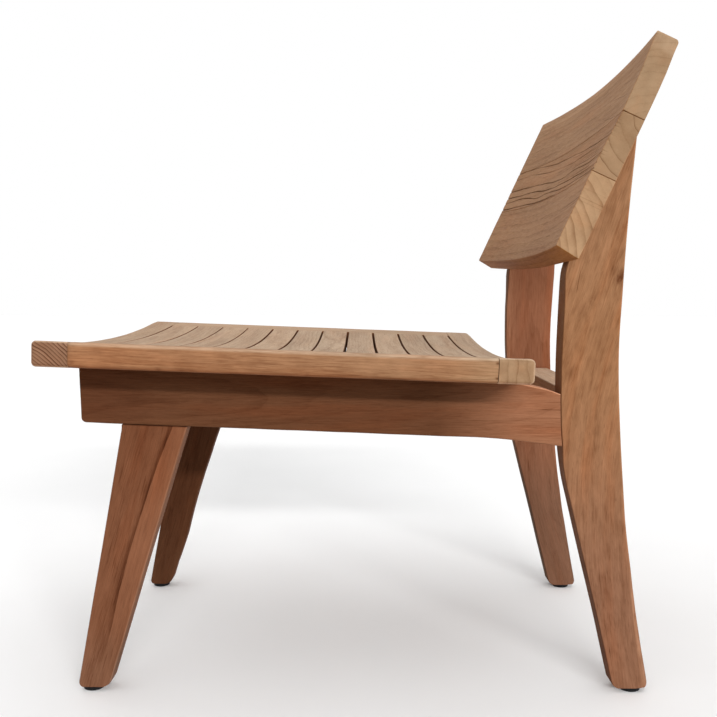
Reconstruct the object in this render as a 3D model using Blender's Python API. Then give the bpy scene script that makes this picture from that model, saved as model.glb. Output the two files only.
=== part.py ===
"""Slatted teak lounge chair without arms.

Metres, +Z up.  The sitter looks along -Y; +X is the sitter's left.
The chair stands on four glides at z = 0 and is centred on the origin.
Dimensions below are in millimetres; depths named "y" run backward from the
front edge of the seat and heights run up from the floor.
"""
import math

import bmesh
import bpy
from mathutils import Vector

MM = 0.001
GAP = 0.3                      # clearance between touching pieces

# ---------------------------------------------------------------- overall
HALF_W = 300.0                 # half width of seat and backrest
DEPTH_FRONT = 355.5            # seat front edge lies this far in front of the origin
FLOOR_Z = 3.3                  # the floor lies this far above the datum of the heights below

# ---------------------------------------------------------------- seat
SEAT_EDGE_Z = 441.4            # top of the seat's side edge at the front
SEAT_LEN = 547.5               # along the slope
SEAT_SLOPE = math.atan2(19.0, 547.0)
SEAT_T = 27.0
SEAT_SAG = 14.0                # hollow of the seat across its width
SLATS = 11
SLAT_GAP = 3.25
BOARD_W = (SEAT_LEN - 12 * SLAT_GAP) / 13.0
SLOT_W = (2.1, 1.7, 1.5, 1.5, 2.7, 2.5, 2.4, 3.2, 3.1, 2.7, 2.9, 2.7)   # widths of the slots, front to rear
SIDE_BOARD_W = 58.0
TENON_LEN = 14.0
TENON_T = 9.0

# ---------------------------------------------------------------- frame
FRAME_OUT = 203.5              # outer face of legs and aprons
FRAME_T = 28.0                 # thickness of legs and aprons
FRAME_IN = FRAME_OUT - FRAME_T
FRAME_MID = FRAME_OUT - FRAME_T / 2.0
RAIL_END = FRAME_IN - GAP

FRONT_RAIL_Y = (31.0, 59.0)
FRONT_RAIL_Z = (346.0, 397.2)
REAR_RAIL_Y = (618.0, 662.0)
REAR_RAIL_Z = (312.5, 370.5)

# ---------------------------------------------------------------- backrest
BACK_Y, BACK_Z = 566.4, 547.0  # lower front edge at the ends
BACK_LEAN = math.radians(24.4)
BACK_LEN = 249.0
BACK_T = 26.6
BACK_SAG = 13.0
BACK_SEAMS = (88.0, 158.7)     # heights of the two glue seams
POST_D = 30.6                  # depth of the post's front face behind the ends' front edge
POST_TOP = 190.0               # height of the post's top along the backrest

# ---------------------------------------------------------------- small pieces
FOOT_Z = 8.3
GLIDE_R = 13.0
SPIGOT_R = 3.0
SPIGOT_LEN = 20.0
DOWEL_R = 4.0
DOWEL_LEN = 38.0
LEG_DOWEL_R = 5.0
LEG_DOWEL_LEN = 56.0
SCREW_R = 2.3
SCREW_HEAD_R = 4.6
SCREW_HEAD_H = 3.2
BORE_R = 5.6
SEAT_SCREW_SLATS = (5, 9)
SEAT_HEAD_N = -74.0
SEAT_TIP_N = -19.0
BACK_SCREWS = ((42.0, 80.0), (112.0, 54.0))   # height, depth of the head
BACK_TIP_D = 14.5
ROUND_SIDES = 10
GLIDE_SIDES = 24

# design points of the rear leg, foot to top (y, z)
REAR_LEG_FRONT = ((669.6, 8.3), (666.8, 20.0), (648.4, 97.0), (622.4, 200.0), (612.3, 241.0),
                  (606.1, 266.0), (601.5, 293.0), (598.3, 320.0), (596.4, 350.0), (595.8, 390.0),
                  (596.0, 420.0), (597.2, 460.0), (598.6, 500.0), (599.6, 516.0), (601.2, 525.5),
                  (603.6, 533.0), (605.8, 542.0), (608.0, 564.6))
REAR_LEG_BACK = ((712.7, 8.3), (710.5, 22.0), (703.6, 58.0), (694.8, 108.0), (686.8, 158.0),
                 (680.0, 208.0), (674.9, 262.0), (670.4, 315.0), (667.2, 365.0), (665.7, 415.0),
                 (666.0, 455.0), (667.9, 500.0), (670.7, 555.0), (674.3, 610.0), (678.0, 655.0),
                 (682.2, 705.0))
# front leg: straight front and rear edges (y, z)
FRONT_LEG_FRONT = ((10.0, 8.3), (70.0, 329.0))
FRONT_LEG_BACK = ((47.6, 8.3), (145.2, 325.0))
# apron: straight lower edge, then a flare to the rear leg
APRON_LOW = ((32.0, 337.7), (501.0, 320.7))
APRON_FLARE = ((470.0, 321.8), (501.0, 320.7), (532.0, 318.5), (565.0, 314.5), (599.0, 309.6))
APRON_FRONT_TOP_Y, APRON_FRONT_LOW_Y = 20.4, 21.6
APRON_REAR_TOP = ((548.0, -0.6), (562.0, 383.6), (580.0, 379.6), (596.0, 374.0))


# ---------------------------------------------------------------- helpers
def clear_scene():
    for ob in list(bpy.data.objects):
        bpy.data.objects.remove(ob, do_unlink=True)


def make_material(name, rgb, rough, metal=0.0):
    m = bpy.data.materials.new(name)
    m.use_nodes = True
    b = m.node_tree.nodes["Principled BSDF"]
    b.inputs["Base Color"].default_value = (*rgb, 1.0)
    b.inputs["Roughness"].default_value = rough
    b.inputs["Metallic"].default_value = metal
    m.diffuse_color = (*rgb, 1.0)
    return m


def add_object(name, bm, mat, parent=None, ref=(0.0, 0.0, 0.0), smooth=None):
    """Turn a bmesh in millimetres into an object whose origin is at ref."""
    bmesh.ops.recalc_face_normals(bm, faces=bm.faces)
    r = Vector(ref)
    for v in bm.verts:
        v.co = (v.co - r) * MM
    me = bpy.data.meshes.new(name)
    bm.to_mesh(me)
    bm.free()
    if smooth is not None:
        for p in me.polygons:
            p.use_smooth = True
        me.set_sharp_from_angle(angle=math.radians(smooth))
    ob = bpy.data.objects.new(name, me)
    if mat is not None:
        me.materials.append(mat)
    bpy.context.scene.collection.objects.link(ob)
    ob.parent = parent
    ob.location = r * MM
    return ob


def tool(name, bm, parent=None):
    ob = add_object(name, bm, None, parent)
    ob.hide_render = True
    ob.display_type = "WIRE"
    return ob


def boolean(ob, other, operation):
    m = ob.modifiers.new(operation.lower(), "BOOLEAN")
    m.operation = operation
    m.solver = "EXACT"
    m.object = other
    return m


def loft(rings):
    """Closed body through rings of equal length, capped at both ends."""
    bm = bmesh.new()
    vs = [[bm.verts.new(p) for p in ring] for ring in rings]
    n = len(vs[0])
    for a, b in zip(vs[:-1], vs[1:]):
        for i in range(n):
            j = (i + 1) % n
            bm.faces.new((a[i], a[j], b[j], b[i]))
    bm.faces.new(vs[0])
    bm.faces.new(list(reversed(vs[-1])))
    return bm


def lathe(profile, place, sides=ROUND_SIDES):
    """Body of revolution; profile is (radius, height), place maps (u, v, w) to a point."""
    bm = bmesh.new()
    rings = []
    for r, h in profile:
        if r < 1e-6:
            rings.append([bm.verts.new(place(0.0, 0.0, h))])
        else:
            rings.append([bm.verts.new(place(r * math.cos(2 * math.pi * (i + 0.5) / sides),
                                             r * math.sin(2 * math.pi * (i + 0.5) / sides), h))
                          for i in range(sides)])
    for a, b in zip(rings[:-1], rings[1:]):
        for i in range(sides):
            j = (i + 1) % sides
            if len(a) == 1:
                bm.faces.new((a[0], b[j], b[i]))
            elif len(b) == 1:
                bm.faces.new((a[i], a[j], b[0]))
            else:
                bm.faces.new((a[i], a[j], b[j], b[i]))
    for ring, rev in ((rings[0], True), (rings[-1], False)):
        if len(ring) > 1:
            bm.faces.new(list(reversed(ring)) if rev else ring)
    return bm


def box_into(bm, x0, x1, y0, y1, z0, z1):
    p = [bm.verts.new((x, y, z)) for x in (x0, x1) for y in (y0, y1) for z in (z0, z1)]
    for f in ((0, 1, 3, 2), (4, 6, 7, 5), (0, 4, 5, 1), (2, 3, 7, 6), (0, 2, 6, 4), (1, 5, 7, 3)):
        bm.faces.new([p[i] for i in f])


def join_into(bm, other):
    """Copy another bmesh's geometry into bm as a separate island."""
    m = {v: bm.verts.new(v.co) for v in other.verts}
    for f in other.faces:
        bm.faces.new([m[v] for v in f.verts])
    other.free()


def smooth_line(pts, per):
    """Points along a smooth curve through the design points."""
    n = len(pts)
    tan = []
    for i in range(n):
        a, b = pts[max(i - 1, 0)], pts[min(i + 1, n - 1)]
        la = math.dist(pts[max(i - 1, 0)], pts[i])
        lb = math.dist(pts[i], pts[min(i + 1, n - 1)])
        s = max(la + lb, 1e-9)
        tan.append(((b[0] - a[0]) / s, (b[1] - a[1]) / s))
    out = []
    for i in range(n - 1):
        p, q = pts[i], pts[i + 1]
        ln = math.dist(p, q)
        for k in range(per):
            t = k / per
            h1 = 2 * t ** 3 - 3 * t ** 2 + 1
            h2 = t ** 3 - 2 * t ** 2 + t
            h3 = -2 * t ** 3 + 3 * t ** 2
            h4 = t ** 3 - t ** 2
            out.append(tuple(h1 * p[c] + h2 * ln * tan[i][c] + h3 * q[c] + h4 * ln * tan[i + 1][c]
                             for c in (0, 1)))
    out.append(tuple(pts[-1]))
    return out


def line_at(line, z):
    """Depth of a rising polyline at height z."""
    for a, b in zip(line[:-1], line[1:]):
        lo, hi = (a, b) if a[1] < b[1] else (b, a)
        if lo[1] <= z <= hi[1]:
            t = (z - lo[1]) / max(hi[1] - lo[1], 1e-9)
            return lo[0] + t * (hi[0] - lo[0])
    return line[0][0] if z < line[0][1] else line[-1][0]


def round_corner(prev, p, nxt, r, seg):
    """Arc that replaces corner p of an outline."""
    a = Vector((prev[0] - p[0], prev[1] - p[1]))
    b = Vector((nxt[0] - p[0], nxt[1] - p[1]))
    a.normalize()
    b.normalize()
    half = math.acos(max(-1.0, min(1.0, a.dot(b)))) / 2.0
    t = r / math.tan(half)
    mid = (a + b).normalized() * (r / math.sin(half))
    c = Vector(p) + mid
    s0 = Vector(p) + a * t - c
    s1 = Vector(p) + b * t - c
    a0 = math.atan2(s0.y, s0.x)
    a1 = math.atan2(s1.y, s1.x)
    d = (a1 - a0 + math.pi) % (2 * math.pi) - math.pi
    return [(c.x + r * math.cos(a0 + d * k / seg), c.y + r * math.sin(a0 + d * k / seg))
            for k in range(seg + 1)]


def area(poly):
    return 0.5 * sum(p[0] * q[1] - q[0] * p[1] for p, q in zip(poly, poly[1:] + poly[:1]))


def inset(poly, d):
    """Outline moved inward by d."""
    if d == 0:
        return list(poly)
    sgn = 1.0 if area(poly) > 0 else -1.0
    n = len(poly)
    out = []
    for i in range(n):
        p, q, r = poly[i - 1], poly[i], poly[(i + 1) % n]
        e1 = Vector((q[0] - p[0], q[1] - p[1])).normalized()
        e2 = Vector((r[0] - q[0], r[1] - q[1])).normalized()
        n1 = Vector((-e1.y, e1.x)) * sgn
        n2 = Vector((-e2.y, e2.x)) * sgn
        m = n1 + n2
        k = d * 2.0 / max(m.length_squared, 0.5)
        out.append((q[0] + m.x * k, q[1] + m.y * k))
    return out


def slab(outline, side, rnd):
    """Body between the frame's inner and outer face with rounded long edges.

    outline(x) gives the (y, z) outline at distance x from the centre plane."""
    rings = []
    s = math.sin(math.pi / 4)
    steps = [(0.0, rnd), (rnd * (1 - s), rnd * (1 - s)), (rnd, 0.0)]
    xs = [(FRAME_IN + a, b) for a, b in steps] + [(FRAME_OUT - a, b) for a, b in reversed(steps)]
    for x, ins in xs:
        rings.append([(side * x, y - DEPTH_FRONT, z - FLOOR_Z) for y, z in inset(outline(x), ins)])
    return loft(rings)


# ---------------------------------------------------------------- frames of seat and back
def dish(x, sag):
    return -sag * (1.0 - (x / HALF_W) ** 2)


def seat_point(v, n):
    """World (y from the seat's front edge, z) of a point on the seat's frame."""
    return (v * math.cos(SEAT_SLOPE) + n * math.sin(SEAT_SLOPE),
            SEAT_EDGE_Z - v * math.sin(SEAT_SLOPE) + n * math.cos(SEAT_SLOPE))


def back_point(h, d):
    """World (y, z) of a point at height h and depth d on the backrest's frame."""
    return (BACK_Y + h * math.sin(BACK_LEAN) + d * math.cos(BACK_LEAN),
            BACK_Z + h * math.cos(BACK_LEAN) - d * math.sin(BACK_LEAN))


def section(a0, a1, b0, b1, radii, seg):
    """Rectangle with rounded corners: (a0,b0) (a1,b0) (a1,b1) (a0,b1)."""
    c = ((a0, b0), (a1, b0), (a1, b1), (a0, b1))
    out = []
    for i in range(4):
        out += round_corner(c[i - 1], c[i], c[(i + 1) % 4], radii[i], seg)
    return out


def spread(x0, x1, n):
    return [x0 + (x1 - x0) * i / n for i in range(n + 1)]


def seat_shell(v0, v1, radii, seg, xs, end_round=0.0, tenon=False):
    """Dished board across the seat (frame of the seat)."""
    rings = []

    def ring(x, ins):
        rad = [max(r - ins, 0.4) for r in radii]
        return [(x, v, n + dish(x, SEAT_SAG))
                for v, n in section(v0 + ins, v1 - ins, -SEAT_T + ins, -ins, rad, seg)]

    def stub(x, xn):
        mid = -SEAT_T / 2.0
        return [(x, v, n + dish(xn, SEAT_SAG))
                for v, n in section(v0 + 5.0, v1 - 5.0, mid - TENON_T / 2.0, mid + TENON_T / 2.0,
                                    [0.8] * 4, seg)]

    if tenon:
        rings.append(stub(xs[0] - TENON_LEN, xs[0]))
        rings.append(stub(xs[0], xs[0]))
    if end_round:
        s = end_round * (1 - math.sin(math.pi / 4))
        rings.append(ring(xs[0], end_round))
        rings.append(ring(xs[0] + s, s))
        inner = [xs[0] + end_round] + xs[1:-1] + [xs[-1] - end_round]
        rings += [ring(x, 0.0) for x in inner]
        rings.append(ring(xs[-1] - s, s))
        rings.append(ring(xs[-1], end_round))
    else:
        rings += [ring(x, 0.0) for x in xs]
    if tenon:
        rings.append(stub(xs[-1], xs[-1]))
        rings.append(stub(xs[-1] + TENON_LEN, xs[-1]))
    return loft(rings)


def board_span(k):
    """Evenly spaced boards along the seat: 0 is the front board, 12 the rear board."""
    v0 = k * (BOARD_W + SLAT_GAP)
    return v0, v0 + BOARD_W


def slat_span(k):
    """A slat fills its place up to the slots beside it, which are not equally wide."""
    v0, v1 = board_span(k)
    spare0, spare1 = SLAT_GAP - SLOT_W[k - 1], SLAT_GAP - SLOT_W[k]
    return (v0 - spare0 * (1.0 if k == 1 else 0.5),
            v1 + spare1 * (1.0 if k == SLATS else 0.5))


# ---------------------------------------------------------------- build
clear_scene()

TEAK_SEAT = make_material("teak_seat", (0.42, 0.26, 0.155), 0.62)
TEAK_BACK = make_material("teak_back", (0.40, 0.26, 0.165), 0.66)
TEAK_FRAME = make_material("teak_frame", (0.33, 0.175, 0.095), 0.58)
DOWEL_WOOD = make_material("dowel_wood", (0.55, 0.40, 0.24), 0.7)
STEEL = make_material("screw_steel", (0.55, 0.54, 0.52), 0.35, 1.0)
GLIDE = make_material("glide_black", (0.012, 0.012, 0.013), 0.5)


def seat_frame():
    ob = bpy.data.objects.new("seat_frame", None)
    bpy.context.scene.collection.objects.link(ob)
    ob.location = (0.0, -DEPTH_FRONT * MM, (SEAT_EDGE_Z - FLOOR_Z) * MM)
    ob.rotation_euler = (-SEAT_SLOPE, 0.0, 0.0)
    return ob


def back_frame():
    ob = bpy.data.objects.new("back_frame", None)
    bpy.context.scene.collection.objects.link(ob)
    ob.location = (0.0, (BACK_Y - DEPTH_FRONT) * MM, (BACK_Z - FLOOR_Z) * MM)
    ob.rotation_euler = (-BACK_LEAN, 0.0, 0.0)
    return ob


SEAT = seat_frame()
BACK = back_frame()
SIDES = (("left", 1.0), ("right", -1.0))


# ---- screws and their holes (seat frame: axis along n; back frame: axis along d)
def screw(head, tip):
    """Countersunk screw profile from its head to its tip."""
    s = 1.0 if tip > head else -1.0
    return [(0.0, head), (SCREW_HEAD_R, head), (SCREW_HEAD_R, head + s * 0.8),
            (SCREW_R, head + s * SCREW_HEAD_H), (SCREW_R, tip - s * 5.0), (0.0, tip)]


def upright(x, v):
    return lambda a, b, h: (x + a, v + b, h)


def inward(x, h):
    return lambda a, b, d: (x + a, d, h + b)


def along_x(y, z, side):
    return lambda a, b, h: (side * h, y - DEPTH_FRONT + a, z - FLOOR_Z + b)


def along_y(x, z):
    return lambda a, b, h: (x + a, h - DEPTH_FRONT, z - FLOOR_Z + b)


def along_z(x, y):
    return lambda a, b, h: (x + a, y - DEPTH_FRONT + b, h - FLOOR_Z)


def pin(r, h0, h1, cham=0.8):
    return [(0.0, h0), (r - cham, h0), (r, h0 + cham), (r, h1 - cham), (r - cham, h1), (0.0, h1)]


def bore(r, h0, h1):
    return [(0.0, h0), (r, h0), (r, h1), (0.0, h1)]


# ---- seat
XS_FULL = spread(-HALF_W, HALF_W, 12)
X_SLAT = HALF_W - SIDE_BOARD_W - GAP
XS_SLAT = spread(-X_SLAT, X_SLAT, 10)

V_REAR = board_span(12)
SIDE_V0 = BOARD_W + GAP
SIDE_V1 = V_REAR[0] - GAP
TEN_X0, TEN_X1 = HALF_W - SIDE_BOARD_W + 9.0, HALF_W - 11.0
TEN_MID = -SEAT_T / 2.0 + dish((TEN_X0 + TEN_X1) / 2.0, SEAT_SAG)

front = add_object("seat_front_board",
                   seat_shell(0.0, BOARD_W, [4.5, 1.5, 1.5, 4.5], 2, XS_FULL, 3.0),
                   TEAK_SEAT, SEAT)
rear = add_object("seat_rear_board",
                  seat_shell(V_REAR[0], V_REAR[1], [1.5, 4.5, 4.5, 1.5], 2, XS_FULL, 3.0),
                  TEAK_SEAT, SEAT)
for board, v0, v1, tag in ((front, SIDE_V0 - TENON_LEN - GAP, BOARD_W + 4.0, "front"),
                           (rear, V_REAR[0] - 4.0, SIDE_V1 + TENON_LEN + GAP, "rear")):
    bm = bmesh.new()
    for _, s in SIDES:
        xa, xb = sorted((s * (TEN_X0 - GAP), s * (TEN_X1 + GAP)))
        box_into(bm, xa, xb, v0, v1, TEN_MID - TENON_T / 2.0 - GAP, TEN_MID + TENON_T / 2.0 + GAP)
    boolean(board, tool("mortises_" + tag, bm, SEAT), "DIFFERENCE")

for k in range(1, SLATS + 1):
    v0, v1 = slat_span(k)
    slat = add_object(f"seat_slat_{k:02d}",
                      seat_shell(v0, v1, [1.4] * 4, 1, XS_SLAT, tenon=True), TEAK_SEAT, SEAT)
    if k in SEAT_SCREW_SLATS:
        bm = bmesh.new()
        for _, s in SIDES:
            join_into(bm, lathe(bore(SCREW_R + GAP, -45.0, SEAT_TIP_N + 0.6),
                                upright(s * FRAME_MID, (v0 + v1) / 2.0)))
        boolean(slat, tool(f"pilot_{k:02d}", bm, SEAT), "DIFFERENCE")

for side, s in SIDES:
    def side_ring(v, s=s):
        xi, xo = HALF_W - SIDE_BOARD_W, HALF_W
        pts = []
        for x in spread(xi + 1.2, xo - 4.5, 3):
            pts.append((x, dish(x, SEAT_SAG)))
        for k in (1, 2):
            a = math.pi / 2 * (1 - k / 2)
            pts.append((xo - 4.5 + 4.5 * math.cos(a), dish(xo - 4.5, SEAT_SAG) - 4.5 + 4.5 * math.sin(a)))
        for k in (0, 1):
            a = -math.pi / 2 * k / 2
            pts.append((xo - 4.5 + 4.5 * math.cos(a), dish(xo - 4.5, SEAT_SAG) - SEAT_T + 4.5 + 4.5 * math.sin(a)))
        for x in reversed(spread(xi + 1.2, xo - 4.5, 3)):
            pts.append((x, dish(x, SEAT_SAG) - SEAT_T))
        pts.append((xi, dish(xi, SEAT_SAG) - SEAT_T + 1.2))
        pts.append((xi, dish(xi, SEAT_SAG) - 1.2))
        return [(s * x, v, n) for x, n in pts]

    board = add_object(f"seat_side_board_{side}", loft([side_ring(SIDE_V0), side_ring(SIDE_V1)]),
                       TEAK_SEAT, SEAT)
    bm = bmesh.new()
    xa, xb = sorted((s * TEN_X0, s * TEN_X1))
    box_into(bm, xa, xb, SIDE_V0 - TENON_LEN, SIDE_V0 + 6.0, TEN_MID - TENON_T / 2.0, TEN_MID + TENON_T / 2.0)
    box_into(bm, xa, xb, SIDE_V1 - 6.0, SIDE_V1 + TENON_LEN, TEN_MID - TENON_T / 2.0, TEN_MID + TENON_T / 2.0)
    boolean(board, tool(f"tenons_{side}", bm, SEAT), "UNION")
    bm = bmesh.new()
    mid = -SEAT_T / 2.0 + dish(X_SLAT, SEAT_SAG)
    xa, xb = sorted((s * (X_SLAT - 6.0), s * (X_SLAT + TENON_LEN + GAP)))
    for k in range(1, SLATS + 1):
        v0, v1 = slat_span(k)
        box_into(bm, xa, xb, v0 + 5.0 - GAP, v1 - 5.0 + GAP,
                 mid - TENON_T / 2.0 - GAP, mid + TENON_T / 2.0 + GAP)
    boolean(board, tool(f"slat_mortises_{side}", bm, SEAT), "DIFFERENCE")

# ---- outlines of the side frames
LEG_FRONT = smooth_line(REAR_LEG_FRONT, 1)
LEG_BACK = smooth_line(REAR_LEG_BACK, 1)


def rear_leg_outline(_x):
    tip_f = back_point(POST_TOP, POST_D)
    tip_b = REAR_LEG_BACK[-1]
    f0, b0 = LEG_FRONT[0], LEG_BACK[0]
    pts = []
    pts += round_corner(b0, f0, LEG_FRONT[1], 11.0, 4)
    pts += [p for p in LEG_FRONT[1:-1] if p[1] > 18.0]
    pts.append(LEG_FRONT[-1])
    pts += round_corner(LEG_FRONT[-1], tip_f, tip_b, 2.0, 2)
    pts += round_corner(tip_f, tip_b, LEG_BACK[-2], 4.0, 3)
    pts += [p for p in reversed(LEG_BACK[1:-1]) if 12.0 < p[1] < 698.0]
    pts += round_corner(LEG_BACK[1], b0, f0, 5.0, 3)
    return pts


def apron_bottom(y):
    (ya, za), (yb, zb) = APRON_LOW
    return za + (zb - za) * (y - ya) / (yb - ya)


def apron_outline(x):
    n_top = -SEAT_T + dish(x, SEAT_SAG) - GAP - 0.15
    y0, z0 = seat_point(APRON_FRONT_TOP_Y, n_top)
    pts = [(APRON_FRONT_TOP_Y, z0)]
    y1, z1 = seat_point(535.0, n_top)
    top = [(y1 - 45.0, z1 + 45.0 * math.tan(SEAT_SLOPE)), (y1, z1)]
    for y, z in APRON_REAR_TOP:
        top.append((y, z if z > 0 else seat_point(y, n_top)[1] + z))
    top[-1] = (line_at(LEG_FRONT, top[-1][1]) - GAP, top[-1][1])
    pts += [p for p in smooth_line(top, 2) if p[0] > y1 - 1.0]
    low = APRON_FLARE[-1][1]
    for k in range(1, 4):
        z = top[-1][1] + (low - top[-1][1]) * k / 4.0
        pts.append((line_at(LEG_FRONT, z) - GAP, z))
    flare = list(APRON_FLARE[:-1]) + [(line_at(LEG_FRONT, low) - GAP, low)]
    pts += [p for p in reversed(smooth_line(flare, 2)) if p[0] > 500.0]
    corner = (APRON_FRONT_LOW_Y, apron_bottom(APRON_FRONT_LOW_Y))
    pts += round_corner((501.0, apron_bottom(501.0)), corner, (APRON_FRONT_TOP_Y, z0), 6.0, 4)
    return pts


def front_leg_outline(_x):
    (fa, za), (fb, zb) = FRONT_LEG_FRONT
    (ra, zc), (rb, zd) = FRONT_LEG_BACK

    def fy(z):
        return fa + (fb - fa) * (z - za) / (zb - za)

    def ry(z):
        return ra + (rb - ra) * (z - zc) / (zd - zc)

    pts = []
    pts += round_corner((ra, zc), (fa, za), (fb, zb), 6.0, 4)
    yt = fy(336.0)
    pts.append((yt, apron_bottom(yt) - GAP))
    yt = ry(333.2)
    pts.append((yt, apron_bottom(yt) - GAP))
    pts += round_corner((rb, zd), (ra, zc), (fa, za), 14.0, 5)
    return pts


# ---- aprons, legs and what joins them
FRONT_DOWELS = (92.0, 124.0)
APRON_DOWELS_Z = (327.0, 357.0)
FRONT_RAIL_YM = (FRONT_RAIL_Y[0] + FRONT_RAIL_Y[1]) / 2.0
REAR_RAIL_YM = (REAR_RAIL_Y[0] + REAR_RAIL_Y[1]) / 2.0
FRONT_RAIL_DZ = (360.0, 384.0)
REAR_RAIL_DZ = (327.0, 356.0)
RAIL_D0, RAIL_D1 = FRAME_IN - 19.0, FRAME_IN - 19.0 + DOWEL_LEN
FRONT_FOOT_Y, REAR_FOOT_Y = 26.5, 693.5

for side, s in SIDES:
    apron = add_object(f"side_apron_{side}", slab(apron_outline, s, 2.2), TEAK_FRAME,
                       ref=(s * FRAME_MID, APRON_FRONT_LOW_Y - DEPTH_FRONT, apron_bottom(23.0) - FLOOR_Z))
    fleg = add_object(f"front_leg_{side}", slab(front_leg_outline, s, 2.2), TEAK_FRAME,
                      ref=(s * FRAME_MID, FRONT_FOOT_Y - DEPTH_FRONT, FOOT_Z - FLOOR_Z))
    rleg = add_object(f"rear_leg_{side}", slab(rear_leg_outline, s, 2.2), TEAK_FRAME,
                      ref=(s * FRAME_MID, REAR_FOOT_Y - DEPTH_FRONT, FOOT_Z - FLOOR_Z))
    cut_apron, cut_fleg, cut_rleg = bmesh.new(), bmesh.new(), bmesh.new()

    for i, y in enumerate(FRONT_DOWELS, 1):
        zc = apron_bottom(y) - GAP / 2.0
        h0, h1 = zc - LEG_DOWEL_LEN / 2.0, zc + LEG_DOWEL_LEN / 2.0
        place = along_z(s * FRAME_MID, y)
        add_object(f"front_leg_dowel_{side}_{i}", lathe(pin(LEG_DOWEL_R, h0, h1), place), DOWEL_WOOD,
                   ref=place(0, 0, zc), smooth=40)
        join_into(cut_apron, lathe(bore(LEG_DOWEL_R + GAP, zc - 8.0, h1 + 1.0), place))
        join_into(cut_fleg, lathe(bore(LEG_DOWEL_R + GAP, h0 - 1.0, zc + 8.0), place))

    for i, z in enumerate(APRON_DOWELS_Z, 1):
        ym = line_at(LEG_FRONT, z) - GAP / 2.0
        h0, h1 = ym - 24.0, ym + 20.0
        place = along_y(s * FRAME_MID, z)
        add_object(f"apron_dowel_{side}_{i}", lathe(pin(DOWEL_R, h0, h1), place), DOWEL_WOOD,
                   ref=place(0, 0, ym), smooth=40)
        join_into(cut_apron, lathe(bore(DOWEL_R + GAP, h0 - 1.0, ym + 8.0), place))
        join_into(cut_rleg, lathe(bore(DOWEL_R + GAP, ym - 8.0, h1 + 1.0), place))

    for y, zs, cut in ((FRONT_RAIL_YM, FRONT_RAIL_DZ, cut_apron), (REAR_RAIL_YM, REAR_RAIL_DZ, cut_rleg)):
        for z in zs:
            join_into(cut, lathe(bore(DOWEL_R + GAP, FRAME_IN - 6.0, RAIL_D1 + 1.0), along_x(y, z, s)))

    join_into(cut_fleg, lathe(bore(SPIGOT_R + GAP, -5.0, SPIGOT_LEN + 1.0), along_z(s * FRAME_MID, FRONT_FOOT_Y)))
    join_into(cut_rleg, lathe(bore(SPIGOT_R + GAP, -5.0, SPIGOT_LEN + 1.0), along_z(s * FRAME_MID, REAR_FOOT_Y)))

    cut_seat = bmesh.new()
    for k in SEAT_SCREW_SLATS:
        v = sum(slat_span(k)) / 2.0
        join_into(cut_seat, lathe(bore(SCREW_R + GAP, SEAT_HEAD_N + 2.0, -30.0), upright(s * FRAME_MID, v)))
        add_object(f"seat_screw_{side}_{SEAT_SCREW_SLATS.index(k) + 1}",
                   lathe(screw(SEAT_HEAD_N, SEAT_TIP_N), upright(s * FRAME_MID, v)), STEEL, SEAT,
                   ref=(s * FRAME_MID, v, SEAT_HEAD_N), smooth=40)
    cut_seat_bore = bmesh.new()
    for k in SEAT_SCREW_SLATS:
        v = sum(slat_span(k)) / 2.0
        join_into(cut_seat_bore, lathe([(0.0, -125.0), (BORE_R, -125.0), (BORE_R, SEAT_HEAD_N + 0.6),
                                        (SCREW_R + GAP, SEAT_HEAD_N + 0.6 + SCREW_HEAD_H), (0.0, SEAT_HEAD_N + 0.6 + SCREW_HEAD_H)],
                                       upright(s * FRAME_MID, v)))

    boolean(apron, tool(f"apron_holes_{side}", cut_apron), "DIFFERENCE")
    boolean(apron, tool(f"seat_screw_bores_{side}", cut_seat_bore, SEAT), "DIFFERENCE")
    boolean(apron, tool(f"seat_screw_shanks_{side}", cut_seat, SEAT), "DIFFERENCE")
    boolean(fleg, tool(f"front_leg_holes_{side}", cut_fleg), "DIFFERENCE")
    boolean(rleg, tool(f"rear_leg_holes_{side}", cut_rleg), "DIFFERENCE")

    # backrest screws, with plugs trimmed flush with the post's rear edge
    cut_back = bmesh.new()
    for h, head in BACK_SCREWS:
        join_into(cut_back, lathe([(0.0, 130.0), (BORE_R, 130.0), (BORE_R, head - 0.6),
                                   (SCREW_R + GAP, head - 0.6 - SCREW_HEAD_H), (SCREW_R + GAP, POST_D - 8.0),
                                   (0.0, POST_D - 8.0)], inward(s * FRAME_MID, h)))
    boolean(rleg, tool(f"back_screw_bores_{side}", cut_back, BACK), "DIFFERENCE")
    shape = tool(f"post_shape_{side}", slab(rear_leg_outline, s, 2.2))
    for i, (h, head) in enumerate(BACK_SCREWS, 1):
        add_object(f"back_screw_{side}_{i}", lathe(screw(head, BACK_TIP_D), inward(s * FRAME_MID, h)),
                   STEEL, BACK, ref=(s * FRAME_MID, head, h), smooth=40)
        plug = add_object(f"post_plug_{side}_{i}",
                          lathe(bore(BORE_R - GAP, head + GAP, 125.0), inward(s * FRAME_MID, h)),
                          TEAK_FRAME, BACK, ref=(s * FRAME_MID, head, h))
        boolean(plug, shape, "INTERSECT")

    for tag, y in (("front", FRONT_FOOT_Y), ("rear", REAR_FOOT_Y)):
        prof = [(GLIDE_R - 1.6, FLOOR_Z), (GLIDE_R - 0.4, FLOOR_Z + 0.6), (GLIDE_R, FLOOR_Z + 1.6),
                (GLIDE_R, FOOT_Z - GAP - 0.6), (GLIDE_R - 0.6, FOOT_Z - GAP), (SPIGOT_R, FOOT_Z - GAP),
                (SPIGOT_R, SPIGOT_LEN - 0.8), (SPIGOT_R - 0.8, SPIGOT_LEN), (0.0, SPIGOT_LEN)]
        add_object(f"foot_glide_{tag}_{side}", lathe(prof, along_z(s * FRAME_MID, y), GLIDE_SIDES), GLIDE,
                   ref=(s * FRAME_MID, y - DEPTH_FRONT, 0.0), smooth=35)


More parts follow.
